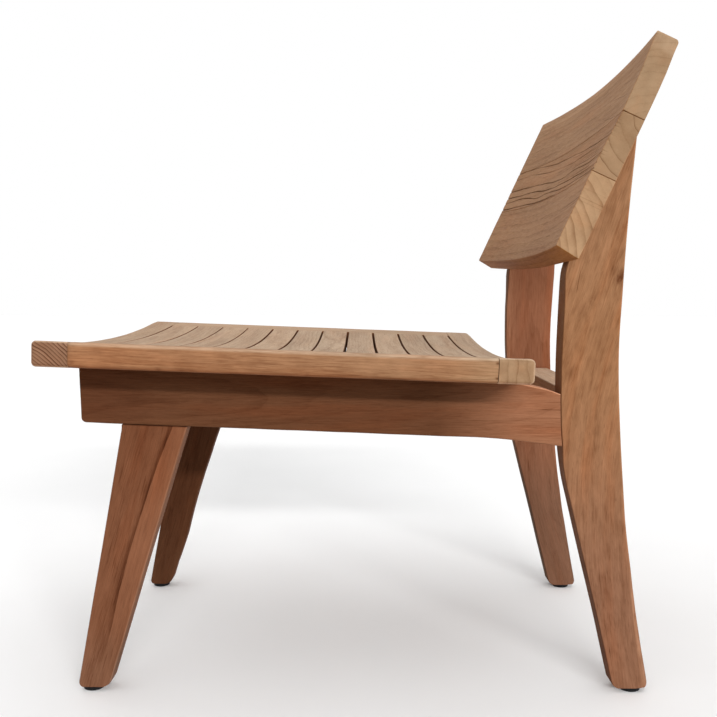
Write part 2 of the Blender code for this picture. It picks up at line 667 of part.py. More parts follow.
# ---- cross rails with their dowels
def rail(name, ys, zs, ym, dowel_z, rnd):
    rings = []
    for x, ins in ((-RAIL_END, 0.5), (-RAIL_END + 0.5, 0.0), (RAIL_END - 0.5, 0.0), (RAIL_END, 0.5)):
        rings.append([(x, y - DEPTH_FRONT, z - FLOOR_Z)
                      for y, z in section(ys[0] + ins, ys[1] - ins, zs[0] + ins, zs[1] - ins, [rnd] * 4, 2)])
    ob = add_object(name, loft(rings), TEAK_FRAME,
                    ref=(0.0, ym - DEPTH_FRONT, (zs[0] + zs[1]) / 2.0 - FLOOR_Z))
    cut = bmesh.new()
    for side, s in SIDES:
        for i, z in enumerate(dowel_z, 1):
            place = along_x(ym, z, s)
            add_object(f"{name}_dowel_{side}_{i}", lathe(pin(DOWEL_R, RAIL_D0, RAIL_D1), place), DOWEL_WOOD,
                       ref=place(0, 0, RAIL_END), smooth=40)
            join_into(cut, lathe(bore(DOWEL_R + GAP, RAIL_D0 - 1.0, FRAME_IN + 6.0), place))
    boolean(ob, tool(name + "_holes", cut), "DIFFERENCE")


rail("front_rail", FRONT_RAIL_Y, FRONT_RAIL_Z, FRONT_RAIL_YM, FRONT_RAIL_DZ, 2.0)
rail("rear_rail", REAR_RAIL_Y, REAR_RAIL_Z, REAR_RAIL_YM, REAR_RAIL_DZ, 2.0)

# ---- backrest boards with housings for the posts and pilot holes
housing = bmesh.new()
for _, s in SIDES:
    xa, xb = sorted((s * (FRAME_IN - GAP), s * (FRAME_OUT + GAP)))
    box_into(housing, xa, xb, POST_D - GAP, POST_D + 40.0, -20.0, POST_TOP + 1.6)
housing = tool("post_housings", housing, BACK)
pilots = bmesh.new()
for _, s in SIDES:
    for h, _head in BACK_SCREWS:
        join_into(pilots, lathe(bore(SCREW_R + GAP, BACK_TIP_D - 0.6, POST_D + 10.0), inward(s * FRAME_MID, h)))
pilots = tool("back_pilots", pilots, BACK)

LEVELS = (("lower", 0.0, BACK_SEAMS[0] - GAP / 2.0, 1.6, 0.4),
          ("middle", BACK_SEAMS[0] + GAP / 2.0, BACK_SEAMS[1] - GAP / 2.0, 0.4, 0.4),
          ("upper", BACK_SEAMS[1] + GAP / 2.0, BACK_LEN, 0.4, 1.6))
for tag, h0, h1, r_low, r_high in LEVELS:
    def back_ring(x, ins, h0=h0, h1=h1, r_low=r_low, r_high=r_high):
        d = -dish(x, BACK_SAG)
        i0 = ins if r_low > 1.0 else 0.0
        i1 = ins if r_high > 1.0 else 0.0
        return [(x, dd + d, hh) for dd, hh in section(ins, BACK_T - ins, h0 + i0, h1 - i1,
                                                      [r_low, r_low, r_high, r_high], 1)]
    xs = spread(-HALF_W, HALF_W, 14)
    rings = [back_ring(-HALF_W, 1.4), back_ring(-HALF_W + 1.4, 0.0)]
    rings += [back_ring(x, 0.0) for x in xs[1:-1]]
    rings += [back_ring(HALF_W - 1.4, 0.0), back_ring(HALF_W, 1.4)]
    board = add_object(f"backrest_{tag}_board", loft(rings), TEAK_BACK, BACK, ref=(0.0, 0.0, h0))
    boolean(board, housing, "DIFFERENCE")
    if tag != "upper":
        boolean(board, pilots, "DIFFERENCE")
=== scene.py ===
"""Studio scene of a slatted teak lounge chair without arms.

Lengths in the tables below are millimetres.  Depths named "y" run backward
from the front edge of the seat and heights run up from the datum of the CAD
drawing, as they do there; place functions turn them into metres in the row
frame.
"""

import math

import bmesh
import bpy
import numpy as np
from mathutils import Matrix, Vector

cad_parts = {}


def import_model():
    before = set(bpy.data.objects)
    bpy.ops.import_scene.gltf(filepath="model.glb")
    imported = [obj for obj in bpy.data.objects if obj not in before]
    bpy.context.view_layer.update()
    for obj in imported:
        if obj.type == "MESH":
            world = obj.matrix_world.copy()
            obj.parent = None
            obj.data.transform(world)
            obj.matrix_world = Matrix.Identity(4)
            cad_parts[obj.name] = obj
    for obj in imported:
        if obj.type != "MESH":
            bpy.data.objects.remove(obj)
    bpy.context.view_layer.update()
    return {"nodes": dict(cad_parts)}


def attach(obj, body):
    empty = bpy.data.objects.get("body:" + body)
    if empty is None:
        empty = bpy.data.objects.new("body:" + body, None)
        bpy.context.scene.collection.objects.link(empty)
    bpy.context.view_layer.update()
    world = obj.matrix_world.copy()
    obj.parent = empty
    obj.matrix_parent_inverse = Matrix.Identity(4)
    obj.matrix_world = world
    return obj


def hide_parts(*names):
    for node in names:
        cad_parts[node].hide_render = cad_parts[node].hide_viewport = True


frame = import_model()
NODES = frame["nodes"]

MM = 0.001
GAP = 0.3

# ---------------------------------------------------------------- chair data
HALF_W = 300.0
DEPTH_FRONT = 355.5
FLOOR_Z = 3.3

SEAT_EDGE_Z = 441.4
SEAT_LEN = 547.5
SEAT_SLOPE = math.atan2(19.0, 547.0)
SEAT_T = 27.0
SEAT_SAG = 14.0
SLATS = 11
SLAT_GAP = 3.25
BOARD_W = (SEAT_LEN - 12 * SLAT_GAP) / 13.0
SLOT_W = (2.1, 1.7, 1.5, 1.5, 2.7, 2.5, 2.4, 3.2, 3.1, 2.7, 2.9, 2.7)
SIDE_BOARD_W = 58.0

FRAME_OUT = 203.5
FRAME_T = 28.0
FRAME_IN = FRAME_OUT - FRAME_T
FRAME_MID = FRAME_OUT - FRAME_T / 2.0
RAIL_END = FRAME_IN - GAP
FRONT_RAIL_Y, FRONT_RAIL_Z = (31.0, 59.0), (346.0, 397.2)
REAR_RAIL_Y, REAR_RAIL_Z = (618.0, 662.0), (312.5, 370.5)

BACK_Y, BACK_Z = 566.4, 547.0
BACK_LEAN = math.radians(24.4)
BACK_LEN = 249.0
BACK_T = 26.6
BACK_SAG = 13.0
BACK_SEAMS = (88.0, 158.7)
POST_D = 30.6
POST_TOP = 190.0

FOOT_Z = 8.3
BORE_R = 5.6
BACK_SCREWS = ((42.0, 80.0), (112.0, 54.0))
SEAT_SCREW_SLATS = (5, 9)
SEAT_HEAD_N = -74.0

REAR_LEG_FRONT = ((669.6, 8.3), (666.8, 20.0), (648.4, 97.0), (622.4, 200.0), (612.3, 241.0),
                  (606.1, 266.0), (601.5, 293.0), (598.3, 320.0), (596.4, 350.0), (595.8, 390.0),
                  (596.0, 420.0), (597.2, 460.0), (598.6, 500.0), (599.6, 516.0), (601.2, 525.5),
                  (603.6, 533.0), (605.8, 542.0), (608.0, 564.6))
REAR_LEG_BACK = ((712.7, 8.3), (710.5, 22.0), (703.6, 58.0), (694.8, 108.0), (686.8, 158.0),
                 (680.0, 208.0), (674.9, 262.0), (670.4, 315.0), (667.2, 365.0), (665.7, 415.0),
                 (666.0, 455.0), (667.9, 500.0), (670.7, 555.0), (674.3, 610.0), (678.0, 655.0),
                 (682.2, 705.0))
FRONT_LEG_FRONT = ((10.0, 8.3), (70.0, 329.0))
FRONT_LEG_BACK = ((47.6, 8.3), (145.2, 325.0))
APRON_LOW = ((32.0, 337.7), (501.0, 320.7))
APRON_FLARE = ((470.0, 321.8), (501.0, 320.7), (532.0, 318.5), (565.0, 314.5), (599.0, 309.6))
APRON_FRONT_TOP_Y, APRON_FRONT_LOW_Y = 20.4, 21.6
APRON_REAR_TOP = ((548.0, -0.6), (562.0, 383.6), (580.0, 379.6), (596.0, 374.0))
SIDES = (("left", 1.0), ("right", -1.0))


# ---------------------------------------------------------------- curves
def smooth_line(pts, per):
    """Points along a smooth curve through the design points."""
    n = len(pts)
    tan = []
    for i in range(n):
        a, b = pts[max(i - 1, 0)], pts[min(i + 1, n - 1)]
        s = max(math.dist(a, pts[i]) + math.dist(pts[i], b), 1e-9)
        tan.append(((b[0] - a[0]) / s, (b[1] - a[1]) / s))
    out = []
    for i in range(n - 1):
        p, q = pts[i], pts[i + 1]
        ln = math.dist(p, q)
        for k in range(per):
            t = k / per
            h1 = 2 * t ** 3 - 3 * t ** 2 + 1
            h2 = t ** 3 - 2 * t ** 2 + t
            h3 = -2 * t ** 3 + 3 * t ** 2
            h4 = t ** 3 - t ** 2
            out.append(tuple(h1 * p[c] + h2 * ln * tan[i][c] + h3 * q[c] + h4 * ln * tan[i + 1][c]
                             for c in (0, 1)))
    out.append(tuple(pts[-1]))
    return out


def round_corner(prev, p, nxt, r, seg):
    """Arc that replaces corner p of an outline."""
    a = Vector((prev[0] - p[0], prev[1] - p[1])).normalized()
    b = Vector((nxt[0] - p[0], nxt[1] - p[1])).normalized()
    half = math.acos(max(-1.0, min(1.0, a.dot(b)))) / 2.0
    t = r / math.tan(half)
    c = Vector(p) + (a + b).normalized() * (r / math.sin(half))
    s0 = Vector(p) + a * t - c
    s1 = Vector(p) + b * t - c
    a0 = math.atan2(s0.y, s0.x)
    d = (math.atan2(s1.y, s1.x) - a0 + math.pi) % (2 * math.pi) - math.pi
    return [(c.x + r * math.cos(a0 + d * k / seg), c.y + r * math.sin(a0 + d * k / seg))
            for k in range(seg + 1)]


def curve(points, axis):
    """Interpolating function of the points' coordinate on axis (0: y of z is axis 1)."""
    p = sorted(points, key=lambda q: q[axis])
    u = np.array([q[axis] for q in p])
    w = np.array([q[1 - axis] for q in p])
    return lambda s: np.interp(s, u, w)


def smoothstep(x, a, b):
    t = np.clip((x - a) / (b - a), 0.0, 1.0)
    return t * t * (3 - 2 * t)


def waves(seed, p, lengths, count=7):
    """Smooth pseudo-random field of unit size; lengths are the wavelengths on the three axes."""
    rng = np.random.RandomState(seed)
    k = rng.normal(size=(count, 3)) / np.asarray(lengths)
    ph = rng.uniform(0, 2 * math.pi, count)
    return np.sin(2 * math.pi * p @ k.T + ph).sum(axis=1) / math.sqrt(count / 2.0)


# ---------------------------------------------------------------- frames of seat and back
def dish(x, sag):
    return -sag * (1.0 - (x / HALF_W) ** 2)


def world(x, y, z):
    return np.stack([x, y - DEPTH_FRONT, z - FLOOR_Z], axis=1) * MM


def seat_place(x, v, n):
    """The upper rim stands up a little at the sitter's left and is worn down at the right."""
    rim = 1.6 * smoothstep(x, 225.0, 297.0) - 1.4 * smoothstep(-x, 262.0, 298.0)
    n = n + rim * (n + SEAT_T) / SEAT_T + dish(x, SEAT_SAG)
    return world(x, v * math.cos(SEAT_SLOPE) + n * math.sin(SEAT_SLOPE),
                 SEAT_EDGE_Z - v * math.sin(SEAT_SLOPE) + n * math.cos(SEAT_SLOPE))


def back_place(x, h, d):
    """The sawn top edge of the backrest is not quite square: it rises toward the sitter's right, where the foot winds forward."""
    far = np.clip(-x / HALF_W, 0.0, 1.0)
    d = d - 1.8 * far * (1.0 - np.clip(h / BACK_LEN, 0.0, 1.0))
    h = h * (1.0 + (2.0 - 3.6 * x / HALF_W + far * (6.4 - 3.0 * far)) / BACK_LEN)
    return world(x, BACK_Y + h * math.sin(BACK_LEAN) + d * math.cos(BACK_LEAN),
                 BACK_Z + h * math.cos(BACK_LEAN) - d * math.sin(BACK_LEAN))


def back_point(h, d):
    return (BACK_Y + h * math.sin(BACK_LEAN) + d * math.cos(BACK_LEAN),
            BACK_Z + h * math.cos(BACK_LEAN) - d * math.sin(BACK_LEAN))


# ---------------------------------------------------------------- mesh kernel
def edge_offsets(radii, seg=3):
    """Distances from an edge at which a rounding of these radii wants a loop."""
    out = []
    for r in radii:
        out += [r * (1.0 - math.tan(math.pi / 4 * k / seg)) for k in range(seg + 1)]
    out = sorted(out)
    keep = [out[0]]
    for o in out[1:]:
        if o - keep[-1] > 0.11:
            keep.append(o)
    return keep


def ticks(lo, hi, r_lo, r_hi, step, extra=(), seg=3):
    """Loop positions across a board, dense in the roundings."""
    a = [lo + o for o in edge_offsets(r_lo, seg)]
    b = [hi - o for o in edge_offsets(r_hi, seg)]
    n = max(1, int(round((min(b) - max(a)) / step)))
    t = sorted(set(a + b + list(np.linspace(max(a), min(b), n + 1)) + list(extra)))
    keep = [t[0]]
    for v in t[1:]:
        if v - keep[-1] > 0.04:
            keep.append(v)
    return np.array(keep)


def shell_grid(na, nb, nc):
    """Surface points of a lattice as (i, j, k) and its quads with their side numbers."""
    mask = np.zeros((na, nb, nc), bool)
    mask[[0, -1]] = True
    mask[:, [0, -1]] = True
    mask[:, :, [0, -1]] = True
    index = np.full((na, nb, nc), -1)
    i, j, k = np.nonzero(mask)
    index[mask] = np.arange(len(i))

    def sheet(g, flip):
        q = np.stack([g[:-1, :-1], g[1:, :-1], g[1:, 1:], g[:-1, 1:]], -1).reshape(-1, 4)
        return q[:, ::-1] if flip else q

    parts = [sheet(index[:, :, -1], False), sheet(index[:, :, 0], True),
             sheet(index[:, 0, :], False), sheet(index[:, -1, :], True),
             sheet(index[-1, :, :], False), sheet(index[0, :, :], True)]
    side = np.concatenate([np.full(len(p), s) for s, p in enumerate(parts)])
    return (i, j, k), np.concatenate(parts), side


def shell_uv(ijk, quads, side, la, lb, lc):
    """Six flat islands, the length of the piece along u."""
    i, j, k = (a[quads] for a in ijk)
    pa, pb, pc = la[i] / la[-1], lb[j] / lb[-1], lc[k] / lc[-1]
    wb, wc = lb[-1], lc[-1]
    m = 0.03 * (wb + wc)
    rows = [wb, wb, wc, wc, 2.0 * wc]
    total = sum(rows) + 5 * m
    u = np.zeros(quads.shape)
    v = np.zeros(quads.shape)
    base = 0.5 * m
    for s in range(4):
        on = side == s
        u[on] = 0.004 + 0.992 * pa[on]
        v[on] = (base + (pb if s < 2 else pc)[on] * rows[s]) / total
        base += rows[s] + m
    for s, u0 in ((4, 0.004), (5, 0.51)):
        on = side == s
        u[on] = u0 + 0.486 * pb[on]
        v[on] = (base + pc[on] * rows[4]) / total
    return np.stack([u, v], -1)


def rounded(p, lo, hi, r_lo, r_hi, power=2.0):
    """Lattice points moved onto the rounded block, with normals and an edge measure.

    power 2 gives round edges, a power near 1 planed flat ones."""
    q = np.clip(p, lo + r_lo, hi - r_hi)
    d = p - q
    r = np.where(d < 0, r_lo, r_hi)
    e = d / r
    power = np.broadcast_to(np.asarray(power, float), (len(p),))[:, None]
    n = (np.abs(e) ** power).sum(axis=1, keepdims=True) ** (1.0 / power)
    n[n == 0] = 1.0
    e = e / n
    nrm = np.sign(e) * np.abs(e) ** (power - 1.0) / r
    nrm /= np.maximum(np.linalg.norm(nrm, axis=1, keepdims=True), 1e-9)
    edge = np.clip((1.0 - np.abs(e).max(axis=1)) / 0.293, 0.0, 1.0)
    return q + r * e, nrm, edge


PIECES = {}


def make_piece(name, co, quads, uv, attrs, material, nodes):
    """Mesh object in metres that stands for the named CAD nodes."""
    tri = co[quads]
    vol = np.einsum("ij,ij->i", tri[:, 0], np.cross(tri[:, 1], tri[:, 2])).sum() \
        + np.einsum("ij,ij->i", tri[:, 0], np.cross(tri[:, 2], tri[:, 3])).sum()
    if vol < 0:
        quads, uv = quads[:, ::-1], uv[:, ::-1]
    me = bpy.data.meshes.new(name)
    me.vertices.add(len(co))
    me.vertices.foreach_set("co", np.ascontiguousarray(co, dtype=np.float32).ravel())
    me.loops.add(quads.size)
    me.loops.foreach_set("vertex_index", np.ascontiguousarray(quads, dtype=np.int32).ravel())
    me.polygons.add(len(quads))
    me.polygons.foreach_set("loop_start", np.arange(0, quads.size, 4, dtype=np.int32))
    me.update(calc_edges=True)
    me.polygons.foreach_set("use_smooth", np.ones(len(quads), bool))
    layer = me.uv_layers.new(name="OFBake")
    layer.data.foreach_set("uv", np.ascontiguousarray(uv, dtype=np.float32).ravel())
    loop_vertex = quads.ravel()
    for key, value in attrs.items():
        value = np.asarray(value, dtype=np.float32)[loop_vertex]
        if value.ndim == 2:
            a = me.attributes.new(key, "FLOAT_VECTOR", "CORNER")
            a.data.foreach_set("vector", np.ascontiguousarray(value).ravel())
        else:
            a = me.attributes.new(key, "FLOAT", "CORNER")
            a.data.foreach_set("value", np.ascontiguousarray(value))
    me.validate()
    ob = bpy.data.objects.new(name, me)
    bpy.context.scene.collection.objects.link(ob)
    me.materials.append(material)
    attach(ob, "root")
    if nodes:
        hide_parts(*nodes)
    PIECES[name] = ob
    return ob


def build(name, ijk, quads, side, p, lo, hi, r_lo, r_hi, lens, place, grain, material, nodes,
          deform=None, seed=0, ripple=0.12, power=2.0, square=None):
    out, nrm, edge = rounded(p, lo, hi, r_lo, r_hi, power)
    end = np.abs(nrm[:, 0])
    if square is not None:
        end = np.maximum(end, smoothstep(np.abs(out[:, 0]), square - 2.2, square - 1.2))
    g = grain(out)
    crack = np.zeros(len(out))
    if deform is not None:
        out, crack = deform(out, nrm)
    out = out + nrm * (ripple * waves(seed, g, (170.0, 60.0, 60.0)) * 0.5)[:, None]
    attrs = {"grain": g, "edge": edge, "endf": smoothstep(end, 0.5, 0.95), "crack": crack}
    uv = shell_uv(ijk, quads, side, *lens)
    return make_piece(name, place(out), quads, uv, attrs, material, nodes)


def board(name, A, B, C, radii, place, material, nodes, seed, deform=None, grain=None, ripple=0.12,
          rc=None, square=None):
    """Board from loop positions along (A), across (B) and through (C) it.

    radii: (along low, along high, across low, across high, through); rc gives the last one point by point,
    as one value or as a pair for the low and the high face."""
    (i, j, k), quads, side = shell_grid(len(A), len(B), len(C))
    p = np.stack([A[i], B[j], C[k]], axis=1)
    one = np.ones(len(p))
    lo = np.array([A[0], B[0], C[0]])
    hi = np.array([A[-1], B[-1], C[-1]])
    thr = rc(p) if rc is not None else radii[4] * one
    t_lo, t_hi = thr if isinstance(thr, tuple) else (thr, thr)
    across = [radii[m](p) if callable(radii[m]) else radii[m] * one for m in (2, 3)]
    r_lo = np.stack([radii[0] * one, across[0], t_lo], axis=1)
    r_hi = np.stack([radii[1] * one, across[1], t_hi], axis=1)
    shift = np.random.RandomState(seed).uniform(-900, 900, 3)
    shift[1:] = 0.0
    g = grain if grain is not None else (lambda q: q + shift)
    lens = (A - A[0], B - B[0], C - C[0])
    return build(name, (i, j, k), quads, side, p, lo, hi, r_lo, r_hi, lens, place, g, material, nodes,
                 deform, seed, ripple, square=square)


# ---------------------------------------------------------------- materials
class Graph:
    """Small helper to write node trees as expressions."""

    def __init__(self, name):
        self.mat = bpy.data.materials.new(name)
        self.mat.use_nodes = True
        self.nt = self.mat.node_tree
        self.nt.nodes.clear()
        self.bsdf = self.nt.nodes.new("ShaderNodeBsdfPrincipled")
        out = self.nt.nodes.new("ShaderNodeOutputMaterial")
        self.nt.links.new(self.bsdf.outputs[0], out.inputs["Surface"])

    def put(self, value, socket):
        if isinstance(value, bpy.types.NodeSocket):
            self.nt.links.new(value, socket)
        else:
            if isinstance(value, (tuple, list)) and len(value) == 3 and socket.type == "RGBA":
                value = (*value, 1.0)
            socket.default_value = value

    def attr(self, name, what):
        n = self.nt.nodes.new("ShaderNodeAttribute")
        n.attribute_name = name
        return n.outputs[what]

    def math(self, op, *args, clamp=False):
        n = self.nt.nodes.new("ShaderNodeMath")
        n.operation = op
        n.use_clamp = clamp
        for a, s in zip(args, n.inputs):
            self.put(a, s)
        return n.outputs[0]

    def add(self, a, b):
        return self.math("ADD", a, b)

    def sub(self, a, b):
        return self.math("SUBTRACT", a, b)

    def mul(self, a, b):
        return self.math("MULTIPLY", a, b)

    def vec(self, op, a, b=None):
        n = self.nt.nodes.new("ShaderNodeVectorMath")
        n.operation = op
        self.put(a, n.inputs[0])
        if b is not None:
            self.put(b, n.inputs[1])
        return n.outputs["Value"] if op in ("LENGTH", "DOT_PRODUCT", "DISTANCE") else n.outputs["Vector"]

    def split(self, v):
        n = self.nt.nodes.new("ShaderNodeSeparateXYZ")
        self.put(v, n.inputs[0])
        return n.outputs

    def join(self, x, y, z):
        n = self.nt.nodes.new("ShaderNodeCombineXYZ")
        for a, s in zip((x, y, z), n.inputs):
            self.put(a, s)
        return n.outputs[0]

    def noise(self, v, detail=2.0, rough=0.5, kind="Fac", dist=0.0):
        n = self.nt.nodes.new("ShaderNodeTexNoise")
        self.put(v, n.inputs["Vector"])
        n.inputs["Scale"].default_value = 1.0
        n.inputs["Detail"].default_value = detail
        n.inputs["Roughness"].default_value = rough
        n.inputs["Distortion"].default_value = dist
        return n.outputs[kind]

    def stretch(self, v, a, b, c, off=(0.0, 0.0, 0.0)):
        """Coordinates whose unit is a, b, c millimetres on the three axes."""
        n = self.nt.nodes.new("ShaderNodeVectorMath")
        n.operation = "MULTIPLY_ADD"
        self.put(v, n.inputs[0])
        n.inputs[1].default_value = (1.0 / a, 1.0 / b, 1.0 / c)
        n.inputs[2].default_value = off
        return n.outputs[0]

    def step(self, x, a, b, lo=0.0, hi=1.0):
        n = self.nt.nodes.new("ShaderNodeMapRange")
        n.interpolation_type = "SMOOTHSTEP"
        self.put(x, n.inputs["Value"])
        n.inputs["From Min"].default_value = a
        n.inputs["From Max"].default_value = b
        n.inputs["To Min"].default_value = lo
        n.inputs["To Max"].default_value = hi
        return n.outputs["Result"]

    def ramp(self, x, stops):
        n = self.nt.nodes.new("ShaderNodeValToRGB")
        self.put(x, n.inputs[0])
        el = n.color_ramp.elements
        while len(el) < len(stops):
            el.new(0.5)
        for e, (pos, col) in zip(el, stops):
            e.position = pos
            e.color = (*col, 1.0) if not isinstance(col, float) else (col, col, col, 1.0)
        return n.outputs["Color"]

    def mix(self, fac, a, b, how="MIX"):
        n = self.nt.nodes.new("ShaderNodeMix")
        n.data_type = "RGBA"
        n.blend_type = how
        n.clamp_factor = True
        for value, want in ((fac, "Factor_Float"), (a, "A_Color"), (b, "B_Color")):
            sock = next(s for s in n.inputs if s.identifier == want)
            self.put(value, sock)
        return next(s for s in n.outputs if s.identifier == "Result_Color")

    def bump(self, height, strength, distance):
        n = self.nt.nodes.new("ShaderNodeBump")
        n.inputs["Strength"].default_value = strength
        n.inputs["Distance"].default_value = distance
        self.put(height, n.inputs["Height"])
        return n.outputs["Normal"]


def scaled(base, factor):
    return tuple(min(0.92, c * f) for c, f in zip(base, factor))


def teak(name, base, pith=(-60.0, -40.0), spacing=4.0, drift=0.0, warp=7.0, ring=0.16, ring_end=0.30, fibre=0.26,
         streak=0.30, broad=0.30, pores=0.30, figure=None, red=0.35, grey=0.0, grey_rgb=(0.36, 0.28, 0.21), grads=(),
         painted_light_by_facing=(), end=(1.0, 1.0, 1.0), rough=0.58, lines=(), knots=(), bump=0.35, edge=1.10, gloss=0.015, wobble=1.1,
         keen=1.0, dirt_and_shade=(0.058, 0.0215, 0.0085)):
    """Oiled teak: growth rings about a pith line, streaks, pores, edges lightened by wear and partly as painted
    highlight, weathered tops.

    pith: across and through position of the ring centre; figure: (amount, along, across, slant) of a broad mottling;
    grads: (axis, from, to, colour factor), which on some pieces also paints shade; painted_light_by_facing: (direction,
    colour factor, from, to) that makes a face lighter or darker by the direction it looks in, as painted light and
    shade; wobble: unevenness of the rings;
    keen: sharpness of the rings on the ends; dirt_and_shade: colour in slots, joints and splits, for their soiling and
    painted shade;
    lines: (axis, offset, slope, bend, start, stop, soft side, hard side, darkness, light behind);
    knots: (axis, along, across, radius, darkness)."""
    g = Graph(name)
    v = g.attr("grain", "Vector")
    axes = g.split(v)
    x, y, z = axes
    e_end = g.attr("endf", "Fac")

    w1 = g.sub(g.noise(g.stretch(v, 190.0, 42.0, 42.0), 2.0), 0.5)
    w2 = g.sub(g.noise(g.stretch(v, 150.0, 38.0, 38.0, (7.3, 2.1, 4.4)), 2.0), 0.5)
    yy = g.add(y, g.mul(w1, 2.0 * warp))
    zz = g.add(z, g.mul(w2, 1.4 * warp))
    knot_mask = None
    for axis, ka, kb, kr, kd in knots:
        d = g.vec("LENGTH", g.join(g.mul(g.sub(x, ka), 0.6), g.sub(axes[axis], kb), 0.0))
        d = g.add(d, g.mul(g.sub(g.noise(g.stretch(v, 7.0, 2.6, 2.6, (ka, kb, 0.0)), 3.0, 0.6), 0.5), 1.6 * kr))
        near = g.math("EXPONENT", g.mul(g.math("POWER", g.math("DIVIDE", d, kr * 2.4), 2.0), -1.0))
        core = g.math("EXPONENT", g.mul(g.math("POWER", g.math("DIVIDE", d, kr), 2.0), -1.0))
        yy = g.add(yy, g.mul(near, kr * 2.0))
        core = g.mul(core, kd)
        knot_mask = core if knot_mask is None else g.math("MAXIMUM", knot_mask, core)
    rho = g.vec("LENGTH", g.join(0.0, g.sub(yy, pith[0]), g.sub(zz, pith[1])))
    rho = g.add(rho, g.mul(x, drift))
    t = g.add(g.math("DIVIDE", rho, spacing),
              g.mul(g.noise(g.stretch(v, 420.0, 16.0, 16.0, (1.7, 8.2, 3.1)), 1.0), wobble))
    f = g.math("FRACT", t)
    profile = g.ramp(f, ((0.0, 0.15), (0.5, 0.34), (0.84, 0.85), (0.94, 1.0), (1.0, 0.15)))
    wn = g.nt.nodes.new("ShaderNodeTexWhiteNoise")
    wn.noise_dimensions = "1D"
    g.put(g.math("FLOOR", t), wn.inputs["W"])
    vary = g.add(g.mul(wn.outputs["Value"], 1.0), 0.2)

    fib = g.noise(g.stretch(v, 24.0, 1.3, 1.3), 4.0, 0.66)
    fine = g.noise(g.stretch(v, 12.0, 0.55, 0.55, (3.0, 1.0, 2.0)), 2.0, 0.6)
    big = g.noise(g.stretch(v, 170.0, 17.0, 17.0, (5.5, 1.2, 9.7)), 3.0, 0.55)
    wide = g.noise(g.stretch(v, 620.0, 64.0, 64.0, (1.5, 4.2, 2.7)), 2.0, 0.5)
    hue = g.noise(g.stretch(v, 210.0, 24.0, 24.0, (2.5, 7.9, 0.7)), 3.0, 0.55)
    dark_streak = g.step(g.noise(g.stretch(v, 36.0, 1.5, 1.5, (8.5, 2.9, 6.7)), 3.0, 0.55), 0.57, 0.70)
    pale_streak = g.step(g.noise(g.stretch(v, 46.0, 2.1, 2.1, (0.4, 5.3, 1.9)), 2.0, 0.5), 0.57, 0.73)

    amp = g.add(g.mul(e_end, ring_end - ring), ring)
    rings = g.sub(profile, 0.42)
    if keen > 1.0:
        rings = g.add(rings, g.mul(e_end, g.sub(g.sub(g.math("POWER", profile, keen), 0.12), rings)))
    tone = g.mul(g.mul(rings, vary), amp)
    sawn = g.mul(g.sub(fib, 0.5), 2.1 * fibre)
    sawn = g.add(sawn, g.mul(g.sub(fine, 0.5), 0.9 * fibre))
    sawn = g.add(sawn, g.mul(dark_streak, 0.55 * streak))
    sawn = g.sub(sawn, g.mul(pale_streak, 0.42 * streak))
    calm = g.sub(1.0, g.mul(e_end, 0.74))
    tone = g.add(tone, g.mul(sawn, calm))
    tone = g.add(tone, g.mul(g.sub(big, 0.5), 1.9 * broad))
    tone = g.add(tone, g.mul(g.sub(wide, 0.5), 1.2 * broad))
    if figure is not None:
        amount, fa_, fb_, slant = figure
        fv = g.join(x, g.add(y, g.mul(x, slant)), z)
        fig = g.noise(g.stretch(fv, fa_, fb_, 30.0, (6.1, 0.3, 3.8)), 2.0, 0.5)
        tone = g.add(tone, g.mul(g.sub(fig, 0.5), 2.0 * amount))
    for axis, off, slope, bend, a0, a1, soft, hard, darkness, light in lines:
        centre = g.add(g.mul(g.add(g.mul(x, bend), slope), x), off)
        s = g.sub(axes[axis], centre)
        s = g.add(s, g.mul(g.sub(g.noise(g.stretch(v, 26.0, 40.0, 40.0, (off, a0, 0.0)), 3.0, 0.6), 0.5), 2.4))
        life = g.mul(g.step(x, a0, a0 + 0.25 * (a1 - a0)), g.step(x, a1 - 0.25 * (a1 - a0), a1, 1.0, 0.0))
        line = g.mul(g.step(s, -soft, 0.0), g.step(s, 0.0, hard, 1.0, 0.0))
        tone = g.add(tone, g.mul(g.mul(line, life), darkness))
        if light:
            band = g.mul(g.step(s, 0.0, hard), life)
            tone = g.sub(tone, g.mul(band, light))
    tone = g.add(tone, 0.5)
    col = g.ramp(tone, ((0.0, scaled(base, (1.50, 1.55, 1.60))), (0.30, scaled(base, (1.20, 1.22, 1.25))), (0.50, base),
                        (0.72, scaled(base, (0.73, 0.66, 0.61))), (1.0, scaled(base, (0.38, 0.29, 0.24)))))
    col = g.mix(g.step(hue, 0.48, 0.74, 0.0, red), col, (1.10, 0.87, 0.72), "MULTIPLY")
    col = g.mix(g.step(hue, 0.30, 0.48, 0.6 * red, 0.0), col, (0.96, 1.05, 1.10), "MULTIPLY")

    pore = g.noise(g.stretch(v, 9.0, 0.7, 0.7, (4.2, 6.6, 1.4)), 1.0, 0.5)
    pore = g.mul(g.step(pore, 0.60, 0.74), g.add(g.mul(profile, 0.5), 0.5))
    pore = g.mul(pore, g.sub(1.0, g.mul(e_end, 0.95)))
    col = g.mix(g.mul(pore, pores), col, (0.46, 0.38, 0.33), "MULTIPLY")

